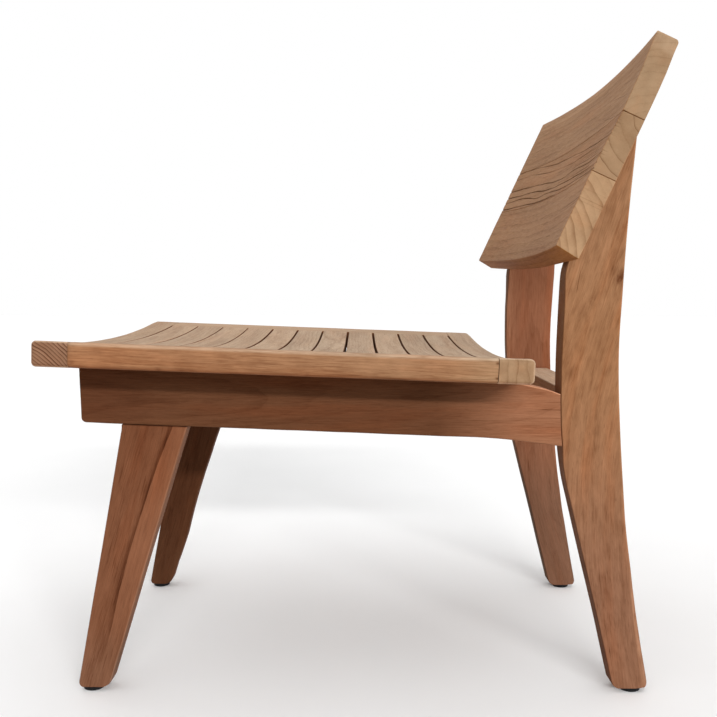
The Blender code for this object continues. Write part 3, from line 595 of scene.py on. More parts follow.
    for axis, a0, a1, factor in grads:
        col = g.mix(g.step(axes[axis], a0, a1), col, factor, "MULTIPLY")
    geo = g.nt.nodes.new("ShaderNodeNewGeometry")
    patch = g.noise(g.stretch(v, 120.0, 30.0, 30.0, (9.1, 3.3, 5.2)), 3.0, 0.6)
    # Painted light and shade: a surface is made lighter or darker by the direction it looks in.
    for direction, factor, f0, f1 in painted_light_by_facing:
        toward = g.vec("DOT_PRODUCT", geo.outputs["Normal"], direction)
        col = g.mix(g.step(toward, f0, f1), col, factor, "MULTIPLY")
    if grey > 0.0:
        nz = g.split(geo.outputs["Normal"])[2]
        up = g.mul(g.step(nz, 0.15, 0.75), g.step(patch, 0.25, 0.75, 0.6 * grey, grey))
        col = g.mix(up, col, g.mix(0.55, col, grey_rgb))
    col = g.mix(e_end, col, end, "MULTIPLY")
    # Rounded edges are lightened: wear, and partly a painted highlight where they catch the light.
    e_edge = g.mul(g.attr("edge", "Fac"), g.step(patch, 0.3, 0.7, 0.35, 1.0))
    col = g.mix(e_edge, col, (edge, edge, edge * 1.01), "MULTIPLY")
    if knot_mask is not None:
        col = g.mix(knot_mask, col, (0.36, 0.22, 0.16), "MULTIPLY")
    # Colour of slots, joints and splits: soiling plus painted shade of their insides.
    crack = g.attr("crack", "Fac")
    col = g.mix(g.mul(crack, 0.95), col, dirt_and_shade)

    g.put(col, g.bsdf.inputs["Base Color"])
    rg = g.add(g.mul(g.sub(fib, 0.5), 0.30), rough)
    rg = g.add(rg, g.mul(profile, 0.05))
    rg = g.add(rg, g.mul(g.attr("edge", "Fac"), -0.06))
    rg = g.add(rg, g.mul(crack, 0.25))
    g.put(g.math("MINIMUM", g.math("MAXIMUM", rg, 0.25), 0.95), g.bsdf.inputs["Roughness"])
    height = g.add(g.mul(fib, 0.55), g.mul(fine, 0.25))
    height = g.sub(height, g.mul(pore, 0.55))
    height = g.sub(height, g.mul(profile, 0.12))
    height = g.sub(height, g.mul(dark_streak, 0.25))
    g.put(g.bump(g.mul(height, calm), bump, 0.0006), g.bsdf.inputs["Normal"])
    g.bsdf.inputs["Specular IOR Level"].default_value = gloss
    g.bsdf.inputs["IOR"].default_value = 1.48
    return g.mat


SEAT_TOP = (0.418, 0.276, 0.173)
SEAT_SIDE = (0.239, 0.115, 0.0554)
BACK_FACE = (0.300, 0.157, 0.0760)
LEG_REAR = (0.218, 0.104, 0.0487)
# The far copies of the leg and apron colours are darker than the near ones: painted shade. The front rail takes the
# darker apron colour too.
LEG_REAR_FAR_SHADED = (0.205, 0.094, 0.044)
LEG_FRONT = (0.129, 0.0504, 0.0246)
LEG_FRONT_FAR_SHADED = (0.120, 0.047, 0.022)
APRON = (0.0927, 0.037, 0.0169)
# Colour of the slot walls: soiling and painted shade.
SLOT_DIRT_AND_SHADE = (0.098, 0.0205, 0.0015)
APRON_FAR_SHADED = (0.078, 0.028, 0.011)
RAIL_REAR = (0.547, 0.373, 0.254)
UP, DOWN, AHEAD, BEHIND = (0.0, 0.0, 1.0), (0.0, 0.0, -1.0), (0.0, -1.0, 0.0), (0.0, 1.0, 0.0)
LEFT, RIGHT = (1.0, 0.0, 0.0), (-1.0, 0.0, 0.0)

# ---------------------------------------------------------------- seat
V_REAR = 12 * (BOARD_W + SLAT_GAP)
SIDE_V0, SIDE_V1 = BOARD_W + 0.08, V_REAR - 0.18
X_SLAT = HALF_W - SIDE_BOARD_W - GAP


def slat_span(k):
    """A slat fills its place up to the slots beside it, which are not equally wide."""
    v0 = k * (BOARD_W + SLAT_GAP)
    spare0, spare1 = SLAT_GAP - SLOT_W[k - 1], SLAT_GAP - SLOT_W[k]
    return (v0 - spare0 * (1.0 if k == 1 else 0.5), v0 + BOARD_W + spare1 * (1.0 if k == SLATS else 0.5))


def seam_radius(open_r, tight_r):
    """Rounding of a cross board's inner edge: open along the slots, tight where a side board meets it."""
    def r(p):
        return open_r + (tight_r - open_r) * smoothstep(np.abs(p[:, 0]), X_SLAT - 3.0, X_SLAT)
    return r


def seat_cross(q):
    return seat_place(q[:, 0], q[:, 1], q[:, 2])


def joint_dirt_and_shade(low, high, tight=1.0):
    """Dirt and painted shade in the joints: on the sides across the board at its low and its high side, less where they
    are tight.
    """
    def deform(out, nrm):
        b = nrm[:, 1]
        amount = 1.0 + (tight - 1.0) * smoothstep(np.abs(out[:, 0]), X_SLAT - 3.0, X_SLAT + 1.0)
        return out, amount * (low * smoothstep(-b, 0.45, 0.9) + high * smoothstep(b, 0.45, 0.9))
    return deform


def edge_blend(lo, hi, b0, b1, tip):
    """Rounding through the board: from lo to hi across it, and tip at its two ends."""
    def rc(p):
        r = lo + (hi - lo) * smoothstep(p[:, 1], b0, b1)
        return np.maximum(r, tip * smoothstep(np.abs(p[:, 0]), HALF_W - 34.0, HALF_W - 8.0))
    return rc


def side_blend(p):
    return 1.4 + 4.4 * smoothstep(p[:, 1], HALF_W - SIDE_BOARD_W + 8.0, HALF_W - 10.0)


OVERHANG = 1.2                  # the outer boards stand a little proud of the drawing
C_SEAT = ticks(-SEAT_T, 0.0, (5.8, 4.5, 1.6), (5.8, 4.5, 1.6), 3.0)
A_SEAT = ticks(-HALF_W, HALF_W, (5.5,), (5.5,), 8.0)
# The front board's front and the undersides of both end boards are darkened by facing: painted shade.
board("seat_front", A_SEAT, ticks(-OVERHANG, BOARD_W, (4.5,), (1.2, 0.2), 2.4), C_SEAT, (5.5, 5.5, 4.5, seam_radius(1.2, 0.2), 0.0), seat_cross,
      teak("teak_seat_front", SEAT_TOP, pith=(-34.0, -80.0), spacing=3.3, warp=3.0, ring=0.18, ring_end=1.45, fibre=0.30, streak=0.34,
           grey=0.4, wobble=0.6, gloss=0.04, dirt_and_shade=SLOT_DIRT_AND_SHADE,
           painted_light_by_facing=((AHEAD, (0.75, 0.68, 0.64), 0.25, 0.85), (DOWN, (0.7, 0.6, 0.55), 0.25, 0.85)), end=(0.434, 0.343, 0.315)),
      ["seat_front_board"], 11, deform=joint_dirt_and_shade(0.0, 0.8, 0.1), rc=edge_blend(4.5, 1.4, 6.0, BOARD_W - 6.0, 5.0),
      square=HALF_W)
board("seat_rear", A_SEAT, ticks(V_REAR, V_REAR + BOARD_W + OVERHANG, (1.2, 0.35), (6.5,), 2.4), C_SEAT, (5.5, 5.5, seam_radius(1.2, 0.35), 6.5, 0.0), seat_cross,
      teak("teak_seat_rear", scaled(SEAT_TOP, (1.03, 1.06, 1.09)), pith=(V_REAR - 150.0, -20.0), spacing=11.0, warp=6.0, ring=0.12, ring_end=0.22, fibre=0.30, streak=0.34,
           grey=0.4, wobble=0.6, gloss=0.04, dirt_and_shade=SLOT_DIRT_AND_SHADE, painted_light_by_facing=((DOWN, (0.7, 0.6, 0.55), 0.25, 0.85),), end=(0.593, 0.530, 0.453), keen=4.0),
      ["seat_rear_board"], 12, deform=joint_dirt_and_shade(0.8, 0.0, 0.4),
      rc=edge_blend(1.4, 5.6, V_REAR + 6.0, V_REAR + BOARD_W - 8.0, 5.0), square=HALF_W)

# Undersides of the slats are darkened by facing: painted shade.
SLAT_MATS = [[teak(f"teak_slat_{m}{part}", scaled(SEAT_TOP, (f * a, f * b, f * c)), pith=p, spacing=s, drift=d, grey=0.45, ring=0.20, fibre=0.24,
                   streak=0.28, broad=0.28, gloss=0.04, dirt_and_shade=SLOT_DIRT_AND_SHADE, painted_light_by_facing=((DOWN, (0.7, 0.6, 0.55), 0.25, 0.85),))
              for part, (a, b, c) in (("front", (1.0, 1.0, 1.0)), ("rear", (1.03, 1.07, 1.10)))]
             for m, (f, p, s, d) in enumerate(((0.97, (-70.0, -60.0), 4.2, 0.006), (1.03, (20.0, -85.0), 3.6, -0.010),
                                               (0.95, (90.0, -50.0), 4.8, 0.012), (1.0, (18.0, 60.0), 4.0, 0.008)))]
for k in range(1, SLATS + 1):
    v0, v1 = slat_span(k)
    rng = np.random.RandomState(200 + k)
    off = rng.uniform(-1, 1, 3) * (800.0, 14.0, 5.0)
    board(f"seat_slat_{k:02d}_fine", ticks(-X_SLAT, X_SLAT, (0.5,), (0.5,), 9.0), ticks(v0, v1, (1.2,), (1.2,), 3.6),
          ticks(-SEAT_T, 0.0, (1.2,), (1.2,), 6.0), (0.5, 0.5, 1.2, 1.2, 1.2), seat_cross, SLAT_MATS[k % 4][int(k > 5)],
          [f"seat_slat_{k:02d}"], 20 + k, deform=joint_dirt_and_shade(0.85, 0.85),
          grain=lambda q, v0=v0, off=off: np.stack([q[:, 0] + off[0], q[:, 1] - v0 + off[1], q[:, 2] + off[2]], 1))


def slot_end_dirt_and_shade(out, nrm):
    """Dirt and painted shade on the inner face that closes the slots."""
    return out, 0.9 * smoothstep(-nrm[:, 1], 0.45, 0.9)


for tag, s in SIDES:
    near = s > 0
    # Near side board: its top and rounded top edge are lightened by facing, a painted highlight, and its underside
    # darkened, painted shade; the far board's outer side and underside are darkened, painted shade.
    if near:
        mat = teak(f"teak_seat_side_{tag}", SEAT_SIDE, pith=(HALF_W + 14.0, -64.0), spacing=3.6, drift=0.016, ring=0.16, fibre=0.31,
                   broad=0.26, streak=0.35, red=0.45, figure=(0.22, 30.0, 9.0, 0.0), gloss=0.04, dirt_and_shade=SLOT_DIRT_AND_SHADE, grads=((0, 120.0, 520.0, (0.97, 1.06, 1.12)), (0, 435.0, 515.0, (1.08, 1.19, 1.24))),
                   painted_light_by_facing=((UP, (1.45, 1.90, 2.47), 0.05, 0.65), (DOWN, (0.75, 0.62, 0.55), 0.25, 0.85)),
                   knots=((2, 72.0, -7.5, 5.0, 0.22), (2, 138.0, -25.5, 2.2, 0.42), (2, 163.0, -25.0, 2.4, 0.36), (2, 300.0, -24.5, 2.2, 0.30),
                          (2, 507.5, -6.0, 1.5, 0.85), (2, 507.5, -21.5, 1.5, 0.85), (2, 44.0, -21.0, 2.0, 0.5)))
    else:
        mat = teak(f"teak_seat_side_{tag}", SEAT_TOP, pith=(HALF_W + 14.0, -64.0), spacing=3.6, drift=0.016, ring=0.18, fibre=0.30,
                   broad=0.28, streak=0.32, red=0.45, grey=0.25, gloss=0.04, dirt_and_shade=SLOT_DIRT_AND_SHADE,
                   painted_light_by_facing=((RIGHT, (0.72, 0.60, 0.52), 0.25, 0.85), (DOWN, (0.7, 0.6, 0.55), 0.25, 0.85)))
    board(f"seat_side_{tag}", ticks(SIDE_V0, SIDE_V1, (0.2,), (0.3,), 6.0), ticks(HALF_W - SIDE_BOARD_W, HALF_W, (1.2,), (6.5,), 3.0),
          C_SEAT, (0.2, 0.3, 1.2, 6.5, 0.0),
          lambda q, s=s: seat_place(s * q[:, 1], q[:, 0], q[:, 2]), mat,
          [f"seat_side_board_{tag}"], 40 + int(s), deform=slot_end_dirt_and_shade, rc=side_blend, grain=lambda q: q)

# ---------------------------------------------------------------- backrest
LEVELS = (("lower", 0.0, BACK_SEAMS[0] - GAP / 2.0, 1.6, 0.35),
          ("middle", BACK_SEAMS[0] + GAP / 2.0, BACK_SEAMS[1] - GAP / 2.0, 0.35, 0.35),
          ("upper", BACK_SEAMS[1] + GAP / 2.0, BACK_LEN, 0.35, 4.0))
HOUSE = [s * x for s in (1, -1) for x in (FRAME_IN - GAP - 0.05, FRAME_IN - GAP + 0.05, FRAME_OUT + GAP - 0.05, FRAME_OUT + GAP + 0.05)]

HOUSE_FOOT = 15.0               # below this the leg stands clear of the board
# the boards moved a little at the sitter's left end: (height, how far back the front edge), (height, how far back the rear edge)
END_FRONT = ((0.0, 0.0), (88.0, 0.7), (120.0, 1.6), (160.0, 3.4), (205.0, 2.8), (BACK_LEN, 0.0))
END_REAR = ((0.0, 2.5), (88.0, 2.8), (159.0, 2.8), (190.0, 2.6), (212.0, 2.0), (235.0, 0.4), (BACK_LEN, 0.0))


def back_surface(q):
    """Curved board with the housings of the posts sunk in its rear face; the lower edge is sawn aslant."""
    d = q[:, 2] - dish(q[:, 0], BACK_SAG)
    ax = np.abs(q[:, 0])
    inside = (ax > FRAME_IN - GAP) & (ax < FRAME_OUT + GAP) & (q[:, 1] > HOUSE_FOOT) & (q[:, 1] < POST_TOP + 1.6) & (q[:, 2] > BACK_T * 0.6)
    d = np.where(inside, np.minimum(d, POST_D - GAP), d)
    t, u = q[:, 2] / BACK_T, q[:, 0] / HALF_W
    front = np.interp(q[:, 1], *np.array(END_FRONT).T) * smoothstep(q[:, 0], 60.0, HALF_W)
    rear = np.interp(q[:, 1], *np.array(END_REAR).T) * smoothstep(q[:, 0], FRAME_OUT + 6.0, HALF_W)
    d = d + front * (1.0 - t) + rear * t
    drop = (3.4 + 0.5 * u) * t + 0.2 * (1.0 - u)
    return back_place(q[:, 0], q[:, 1] - drop * (1.0 - smoothstep(q[:, 1], 0.0, 45.0)), d)


# splits along the grain of the middle board: points (x, height), width, depth
SPLITS = ((((-300, 157.6), (-174, 156.8), (-49, 148.8), (64, 145.2), (141, 140.1), (213, 137.0), (300, 132.2)), 0.42, 1.5),
          (((-300, 146.4), (-181, 145.5), (-45, 137.2), (110, 131.0), (194, 130.7), (240, 129.5)), 0.36, 1.1),
          (((-300, 124.4), (-182, 124.7), (-57, 119.7), (67, 113.0), (143, 115.0), (221, 110.5), (300, 109.8)), 0.45, 1.7),
          (((-300, 112.8), (-139, 112.6), (-53, 108.0), (69, 103.7), (171, 102.1), (247, 98.8), (300, 97.5)), 0.50, 2.0),
          (((-300, 103.2), (-176, 105.9), (-61, 97.5), (-8, 100.0), (106, 94.8), (189, 93.7), (300, 91.0)), 0.45, 1.7),
          (((-300, 92.6), (-149, 92.4), (-38, 90.4), (30, 90.2), (92, 89.6)), 0.50, 2.0),
          (((20, 109.2), (90, 108.0), (180, 104.9), (270, 103.0)), 0.34, 0.9),
          (((70, 121.0), (150, 119.5), (230, 116.0), (300, 115.0)), 0.34, 0.9),
          (((120, 126.0), (200, 124.0), (285, 120.0)), 0.32, 0.8),
          (((-120, 133.0), (-30, 130.5), (60, 126.0)), 0.32, 0.7),
          (((60, 141.0), (140, 136.0), (250, 134.5)), 0.30, 0.7),
          (((150, 112.6), (225, 108.4), (300, 106.2)), 0.30, 0.8),
          (((140, 131.5), (220, 127.6), (300, 125.2)), 0.30, 0.7),
          (((190, 143.0), (245, 140.2), (300, 137.8)), 0.30, 0.7),
          (((130, 99.0), (215, 96.8), (300, 94.4)), 0.30, 0.8),
          (((165, 122.6), (235, 119.8), (300, 118.2)), 0.28, 0.7))


def split_field(splits):
    """Front face opened along the splits, with chips out of its edge at the sitter's left."""
    def deform(out, nrm):
        deep = np.zeros(len(out))
        front = np.clip(-nrm[:, 2], 0.0, 1.0)
        x = out[:, 0]
        for n, (pts, wide, depth) in enumerate(splits):
            ph = np.random.RandomState(300 + n).uniform(0, 6.28, 4)
            c = curve(smooth_line(pts, 12), 0)(x)
            c = c + 0.35 * np.sin(x / 31.0 + ph[0]) + 0.22 * np.sin(x / 13.0 + ph[1])
            x0, x1 = pts[0][0], pts[-1][0]
            life = np.ones(len(x))
            if x0 > -299:
                life = life * smoothstep(x, x0, x0 + 45.0)
            if x1 < 299:
                life = life * (1.0 - smoothstep(x, x1 - 45.0, x1))
            life = life * (0.70 + 0.30 * np.sin(x / 37.0 + ph[2])) * (x >= x0 - 1.0) * (x <= x1 + 1.0)
            prof = np.exp(-((out[:, 1] - c) / (1.25 * wide)) ** 2)
            deep = np.maximum(deep, prof * life * depth)
        deep = deep * front
        chip = np.clip(waves(71, out, (30.0, 5.5, 30.0)) - 0.55, 0.0, 1.2) * smoothstep(x, HALF_W - 4.0, HALF_W - 0.4) \
            * (1.0 - smoothstep(out[:, 2], 0.5, 4.0))
        out = out - nrm * (deep + 0.8 * chip)[:, None]
        return out, smoothstep(deep, 0.22, 0.75)
    return deform


BACK_PITH = {"lower": (-62.0, -94.0), "middle": (183.5, 58.2), "upper": (113.0, 54.0)}
BACK_RINGS = {"lower": (8.6, 0.16, 0.28), "middle": (15.0, 0.14, 0.42), "upper": (8.0, 0.14, 0.13)}
BACK_KEEN = {"lower": 1.5, "middle": 9.0, "upper": 6.0}
BACK_END = {"lower": 1.13, "middle": 0.88, "upper": 0.93}
BACK_LINES = {"lower": ((1, 51.0, 0.022, 0.0, 150.0, 320.0, 0.9, 0.9, 0.34, 0.0), (1, 44.5, 0.030, 0.0, 205.0, 310.0, 0.8, 0.8, 0.30, 0.0),
                        (1, 61.5, 0.020, 0.0, 190.0, 310.0, 0.7, 0.7, 0.26, 0.0)),
              "middle": (),
              "upper": ((1, 430.0, -0.147, 0.0, 1570.0, 1690.0, 0.9, 0.9, 0.34, 0.0), (1, 382.0, -0.133, 0.0, 1565.0, 1700.0, 0.9, 0.9, 0.30, 0.0),
                        (1, 300.0, -0.072, 0.0, 1450.0, 1520.0, 0.8, 0.8, 0.24, 0.0), (1, 412.0, -0.125, 0.0, 1600.0, 1705.0, 0.9, 0.9, 0.26, 0.0))}


def back_round(p):
    """Rounding of the front and rear edges; the upper rear edge is worn rounder."""
    return 1.4 * np.ones(len(p)), 1.4 + 2.2 * smoothstep(p[:, 1], BACK_LEN - 22.0, BACK_LEN - 8.0)


for n, (tag, h0, h1, r0, r1) in enumerate(LEVELS):
    step = 0.42 if tag == "middle" else 1.6
    extra = {"upper": [POST_TOP + 1.55, POST_TOP + 1.65], "lower": [HOUSE_FOOT - 0.05, HOUSE_FOOT + 0.05]}.get(tag, [])
    spacing, ring, ring_end = BACK_RINGS[tag]
    # Undersides of the backrest boards are darkened by facing: painted shade.
    board(f"backrest_{tag}", ticks(-HALF_W, HALF_W, (1.4,), (1.4,), 4.0, HOUSE), ticks(h0, h1, (r0,), (r1,), step, extra),
          ticks(0.0, BACK_T, (1.4,), (3.6, 1.4), 3.5), (1.4, 1.4, r0, r1, 1.4), back_surface,
          teak(f"teak_back_{tag}", BACK_FACE, pith=BACK_PITH[tag], spacing=spacing, drift=0.004, warp=5.0, ring=ring, ring_end=ring_end,
               fibre=0.30, streak=0.32, broad=0.22, red=0.3, grey=0.0, wobble=0.35, gloss=0.04, keen=BACK_KEEN[tag], painted_light_by_facing=((DOWN, (0.828, 0.587, 0.280), 0.25, 0.85),),
               grads=((1, 230.0, 234.0, (1.13, 1.17, 1.23)), (1, 140.0, 150.0, (1.0, 1.04, 1.08))) if tag == "upper" else (),
               end=tuple(c * BACK_END[tag] for c in (0.858, 0.991, 1.106)), lines=BACK_LINES[tag]),
          [f"backrest_{tag}_board"], 60 + n, deform=split_field(SPLITS if tag == "middle" else ()), rc=back_round,
          grain=lambda q, n=n: q + np.array([700.0 * n, 0.0, 0.0]))


# ---------------------------------------------------------------- side frames
def lattice_across(width, r_lo, step):
    """Loops across a piece of varying width: offset, share of the width, share of the high edge's rounding."""
    lo = edge_offsets((r_lo,))
    hi = edge_offsets((1.0,), 4)
    n = max(2, int(round(width / step)))
    t = np.linspace(0.0, 1.0, n + 1)[1:-1]
    a = [(o, 0.0, 0.0) for o in lo] + [(r_lo * (1.0 - f), f, -f) for f in t] + [(0.0, 1.0, -o) for o in reversed(hi)]
    return np.array(a)


def strip(name, levels, low, high, r_ends, r_lo, r_hi, r_face, width, place, grain, material, nodes, seed, step=5.0, xs=None,
          planed=None):
    """Piece of the side frame: at each level it reaches from low(level) to high(level), between the frame's inner and
    outer face.

    planed: how far, level by level, the rounding of the high edge is planed into a flat."""
    AB = lattice_across(width, r_lo, step)
    C = xs if xs is not None else ticks(FRAME_IN, FRAME_OUT, (r_face,), (r_face,), 6.0)
    (i, j, k), quads, side = shell_grid(len(levels), len(AB), len(C))
    a = levels[i]
    w = high(a) - low(a)
    rr = r_hi(a) if callable(r_hi) else np.full(len(a), float(r_hi))
    p = np.stack([a, AB[j, 0] + AB[j, 1] * w + AB[j, 2] * rr, C[k]], axis=1)
    one = np.ones(len(p))
    lo = np.stack([levels[0] * one, 0 * one, C[0] * one], axis=1)
    hi = np.stack([levels[-1] * one, w, C[-1] * one], axis=1)
    rl = np.stack([r_ends[0] * one, r_lo * one, r_face * one], axis=1)
    flat = planed(a) * (p[:, 1] > w - rr - 1e-6) if planed is not None else 0.0 * one
    rl[:, 2] = rh_face = r_face + 1.4 * flat
    rh = np.stack([r_ends[1] * one, rr, rh_face], axis=1)
    lens = (levels - levels[0], np.linspace(0, width, len(AB)), C - C[0])

    def to_world(q):
        # q: level, distance from the low edge, distance from the centre plane
        ww = high(q[:, 0]) - low(q[:, 0])
        return place(q[:, 0], low(q[:, 0]) + q[:, 1], q[:, 2], q[:, 1] / np.maximum(ww, 1e-6))

    def g(q):
        return grain(q[:, 0], low(q[:, 0]) + q[:, 1], q[:, 2])

    return build(name, (i, j, k), quads, side, p, lo, hi, rl, rh, lens, to_world, g, material, nodes, None, seed, 0.16,
                 2.0 - 0.88 * flat)


def dense_levels(lo, hi, step, head=(), tail=()):
    body = np.linspace(lo + (head[-1] if head else 0), hi - (tail[-1] if tail else 0),
                       max(2, int(round((hi - lo) / step))))
    return np.array(sorted(set([lo + h for h in head] + list(body) + [hi - t for t in tail])))


def bore_out(ob, ends, radius):
    """Round holes from point to point through a piece, with walls of their own in the margin of its map."""
    bm = bmesh.new()
    uv = bm.loops.layers.uv.new("OFBake")
    for n, (a, b) in enumerate(ends):
        a, b = Vector(a), Vector(b)
        turn = (b - a).to_track_quat("Z", "Y").to_matrix().to_4x4()
        made = bmesh.ops.create_cone(bm, cap_ends=True, segments=40, radius1=radius, radius2=radius, depth=(b - a).length,
                                     matrix=Matrix.Translation((a + b) / 2.0) @ turn)
        for fc in {fc for vert in made["verts"] for fc in vert.link_faces}:
            for m, loop in enumerate(fc.loops):
                loop[uv].uv = (0.90 + 0.02 * n + 0.01 * (m % 2), 0.9970 + 0.002 * (m // 2 % 2))
            fc.smooth = len(fc.verts) == 4
    me = bpy.data.meshes.new("cut")
    bm.to_mesh(me)
    bm.free()
    cutter = bpy.data.objects.new("cut", me)
    bpy.context.scene.collection.objects.link(cutter)
    mod = ob.modifiers.new("bore", "BOOLEAN")
    mod.operation, mod.solver, mod.object = "DIFFERENCE", "EXACT", cutter
    bpy.context.view_layer.update()
    result = bpy.data.meshes.new_from_object(ob.evaluated_get(bpy.context.evaluated_depsgraph_get()))
    ob.modifiers.clear()
    old, ob.data = ob.data, result
    result.name = old.name + "_bored"
    bpy.data.meshes.remove(old)
    bpy.data.objects.remove(cutter, do_unlink=True)
    bpy.data.meshes.remove(me)


FOOT_STEPS = (0.0, 0.12, 0.35, 0.7, 1.1, 1.6, 2.3, 3.1, 4.1, 5.2, 6.5, 8.0, 10.0, 12.5, 15.0, 18.0)

# rear legs
RF = smooth_line(REAR_LEG_FRONT, 8)
RB = smooth_line(REAR_LEG_BACK, 8)
foot_f = round_corner(RB[0], RF[0], RF[8], 11.0, 14)
foot_b = round_corner(RB[8], RB[0], RF[0], 5.0, 10)
leg_front_curve = curve(foot_f + [p for p in RF if p[1] > 19.5], 1)
leg_back_curve = curve(foot_b + [p for p in RB if p[1] > 13.5], 1)
leg_edge = curve(RF, 1)


def post_plane(z):
    h = (z - BACK_Z + POST_D * math.sin(BACK_LEAN)) / math.cos(BACK_LEAN)
    return BACK_Y + h * math.sin(BACK_LEAN) + POST_D * math.cos(BACK_LEAN)


def rear_low(z):
    return np.where(z < 566.0, np.maximum(leg_front_curve(z), np.where(z > 560.0, post_plane(z), 0.0)), post_plane(z))


def rear_high(z):
    return leg_back_curve(z)


def post_fall(z, y):
    """The top of the post slopes down to the rear."""
    return 0.25 * smoothstep(z, 688.0, 706.2) * (y - 677.0)


def bevel(z):
    """The rear edge is planed off toward the foot."""
    return 2.6 + 6.4 * (1.0 - smoothstep(z, 20.0, 190.0))


def planed_off(z):
    return 1.0 - smoothstep(z, 130.0, 190.0)


def back_set(a, x):
    """Where the apron meets it, the leg's front face is planed out of square: its outer edge lies further back."""
    return 1.9 * (x - FRAME_IN) / FRAME_T * smoothstep(a, 286.0, 312.0) * (1.0 - smoothstep(a, 480.0, 530.0))


def plank(angle, y0, z0):
    """Grain frame of a straight plank: along, across, through."""
    ca, sa = math.cos(angle), math.sin(angle)

    def g(a_z, b_y, x):
        return np.stack([(a_z - z0) * ca + (b_y - y0) * sa, -(a_z - z0) * sa + (b_y - y0) * ca, x], axis=1)
    return g


def leaning(heights, slopes):
    """Grain that runs up the leg with a lean that changes on the way, and where a spot lies in it."""
    z = np.arange(-20.0, 761.0, 5.0)
    lean = np.interp(z, heights, slopes)
    y = np.concatenate([[0.0], np.cumsum(0.5 * (lean[1:] + lean[:-1]) * 5.0)])
    y = y - float(np.interp(400.0, z, y)) + 630.0

    def grain(a_z, b_y, x):
        return np.stack([a_z, b_y - np.interp(a_z, z, y), x], axis=1)

    def spot(b_y, a_z):
        return a_z, b_y - float(np.interp(a_z, z, y))
    return grain, spot


near_grain, leg_spot = leaning((0.0, 120.0, 240.0, 330.0, 430.0, 560.0, 720.0), (-0.16, -0.11, -0.02, 0.14, 0.30, 0.32, 0.36))
far_grain, far_spot = leaning((0.0, 110.0, 180.0, 280.0, 720.0), (-0.26, -0.30, -0.12, -0.02, 0.03))


def check_line(low, high, darkness):
    """Fine drying check in the near leg between two spots (y, z)."""
    (z0, c0), (z1, c1) = leg_spot(*low), leg_spot(*high)
    slope = (c1 - c0) / (z1 - z0)
    return 1, c0 - slope * z0, slope, 0.0, z0 - 5.0, z1 + 5.0, 0.8, 0.8, darkness, 0.0


# hand-shaped outlines: (height, shift of the front edge), (height, shift of the rear edge)
SHAPED = {"left": (((0.0, 0.0), (706.0, 0.0)),
                   ((8.0, 1.5), (60.0, 1.5), (128.0, 1.7), (171.0, 1.2), (220.0, 0.7), (294.0, 1.1), (439.0, 0.7), (487.0, 1.2), (604.0, 1.1), (706.0, 0.5))),
          "right": (((8.0, 3.2), (42.0, 2.5), (76.0, 1.7), (145.0, 1.6), (213.0, 0.8), (300.0, 0.0), (385.0, 0.0), (414.0, -1.5), (447.0, -2.6), (470.0, -3.3),
                     (497.0, -2.9), (513.0, -2.9), (524.0, -3.8), (530.0, -4.7), (534.0, -4.4), (540.0, -3.0), (549.0, -0.3), (556.0, 0.0)),
                    ((8.0, 4.0), (51.0, 3.6), (118.0, 3.3), (152.0, 2.0), (219.0, 1.2), (416.0, 0.3), (465.0, 1.0), (522.0, 1.6), (600.0, 0.0)))}


def shaped(tag, a, t):
    """Shift at height a of the point that lies at the share t of the leg's width."""
    front, rear = (np.interp(a, *np.array(table).T) for table in SHAPED[tag])
    return front * (1.0 - t) + rear * t


REAR_LEVELS = dense_levels(FOOT_Z, 706.2, 5.0, FOOT_STEPS, (0.0, 0.3, 0.7, 1.2, 2.0))
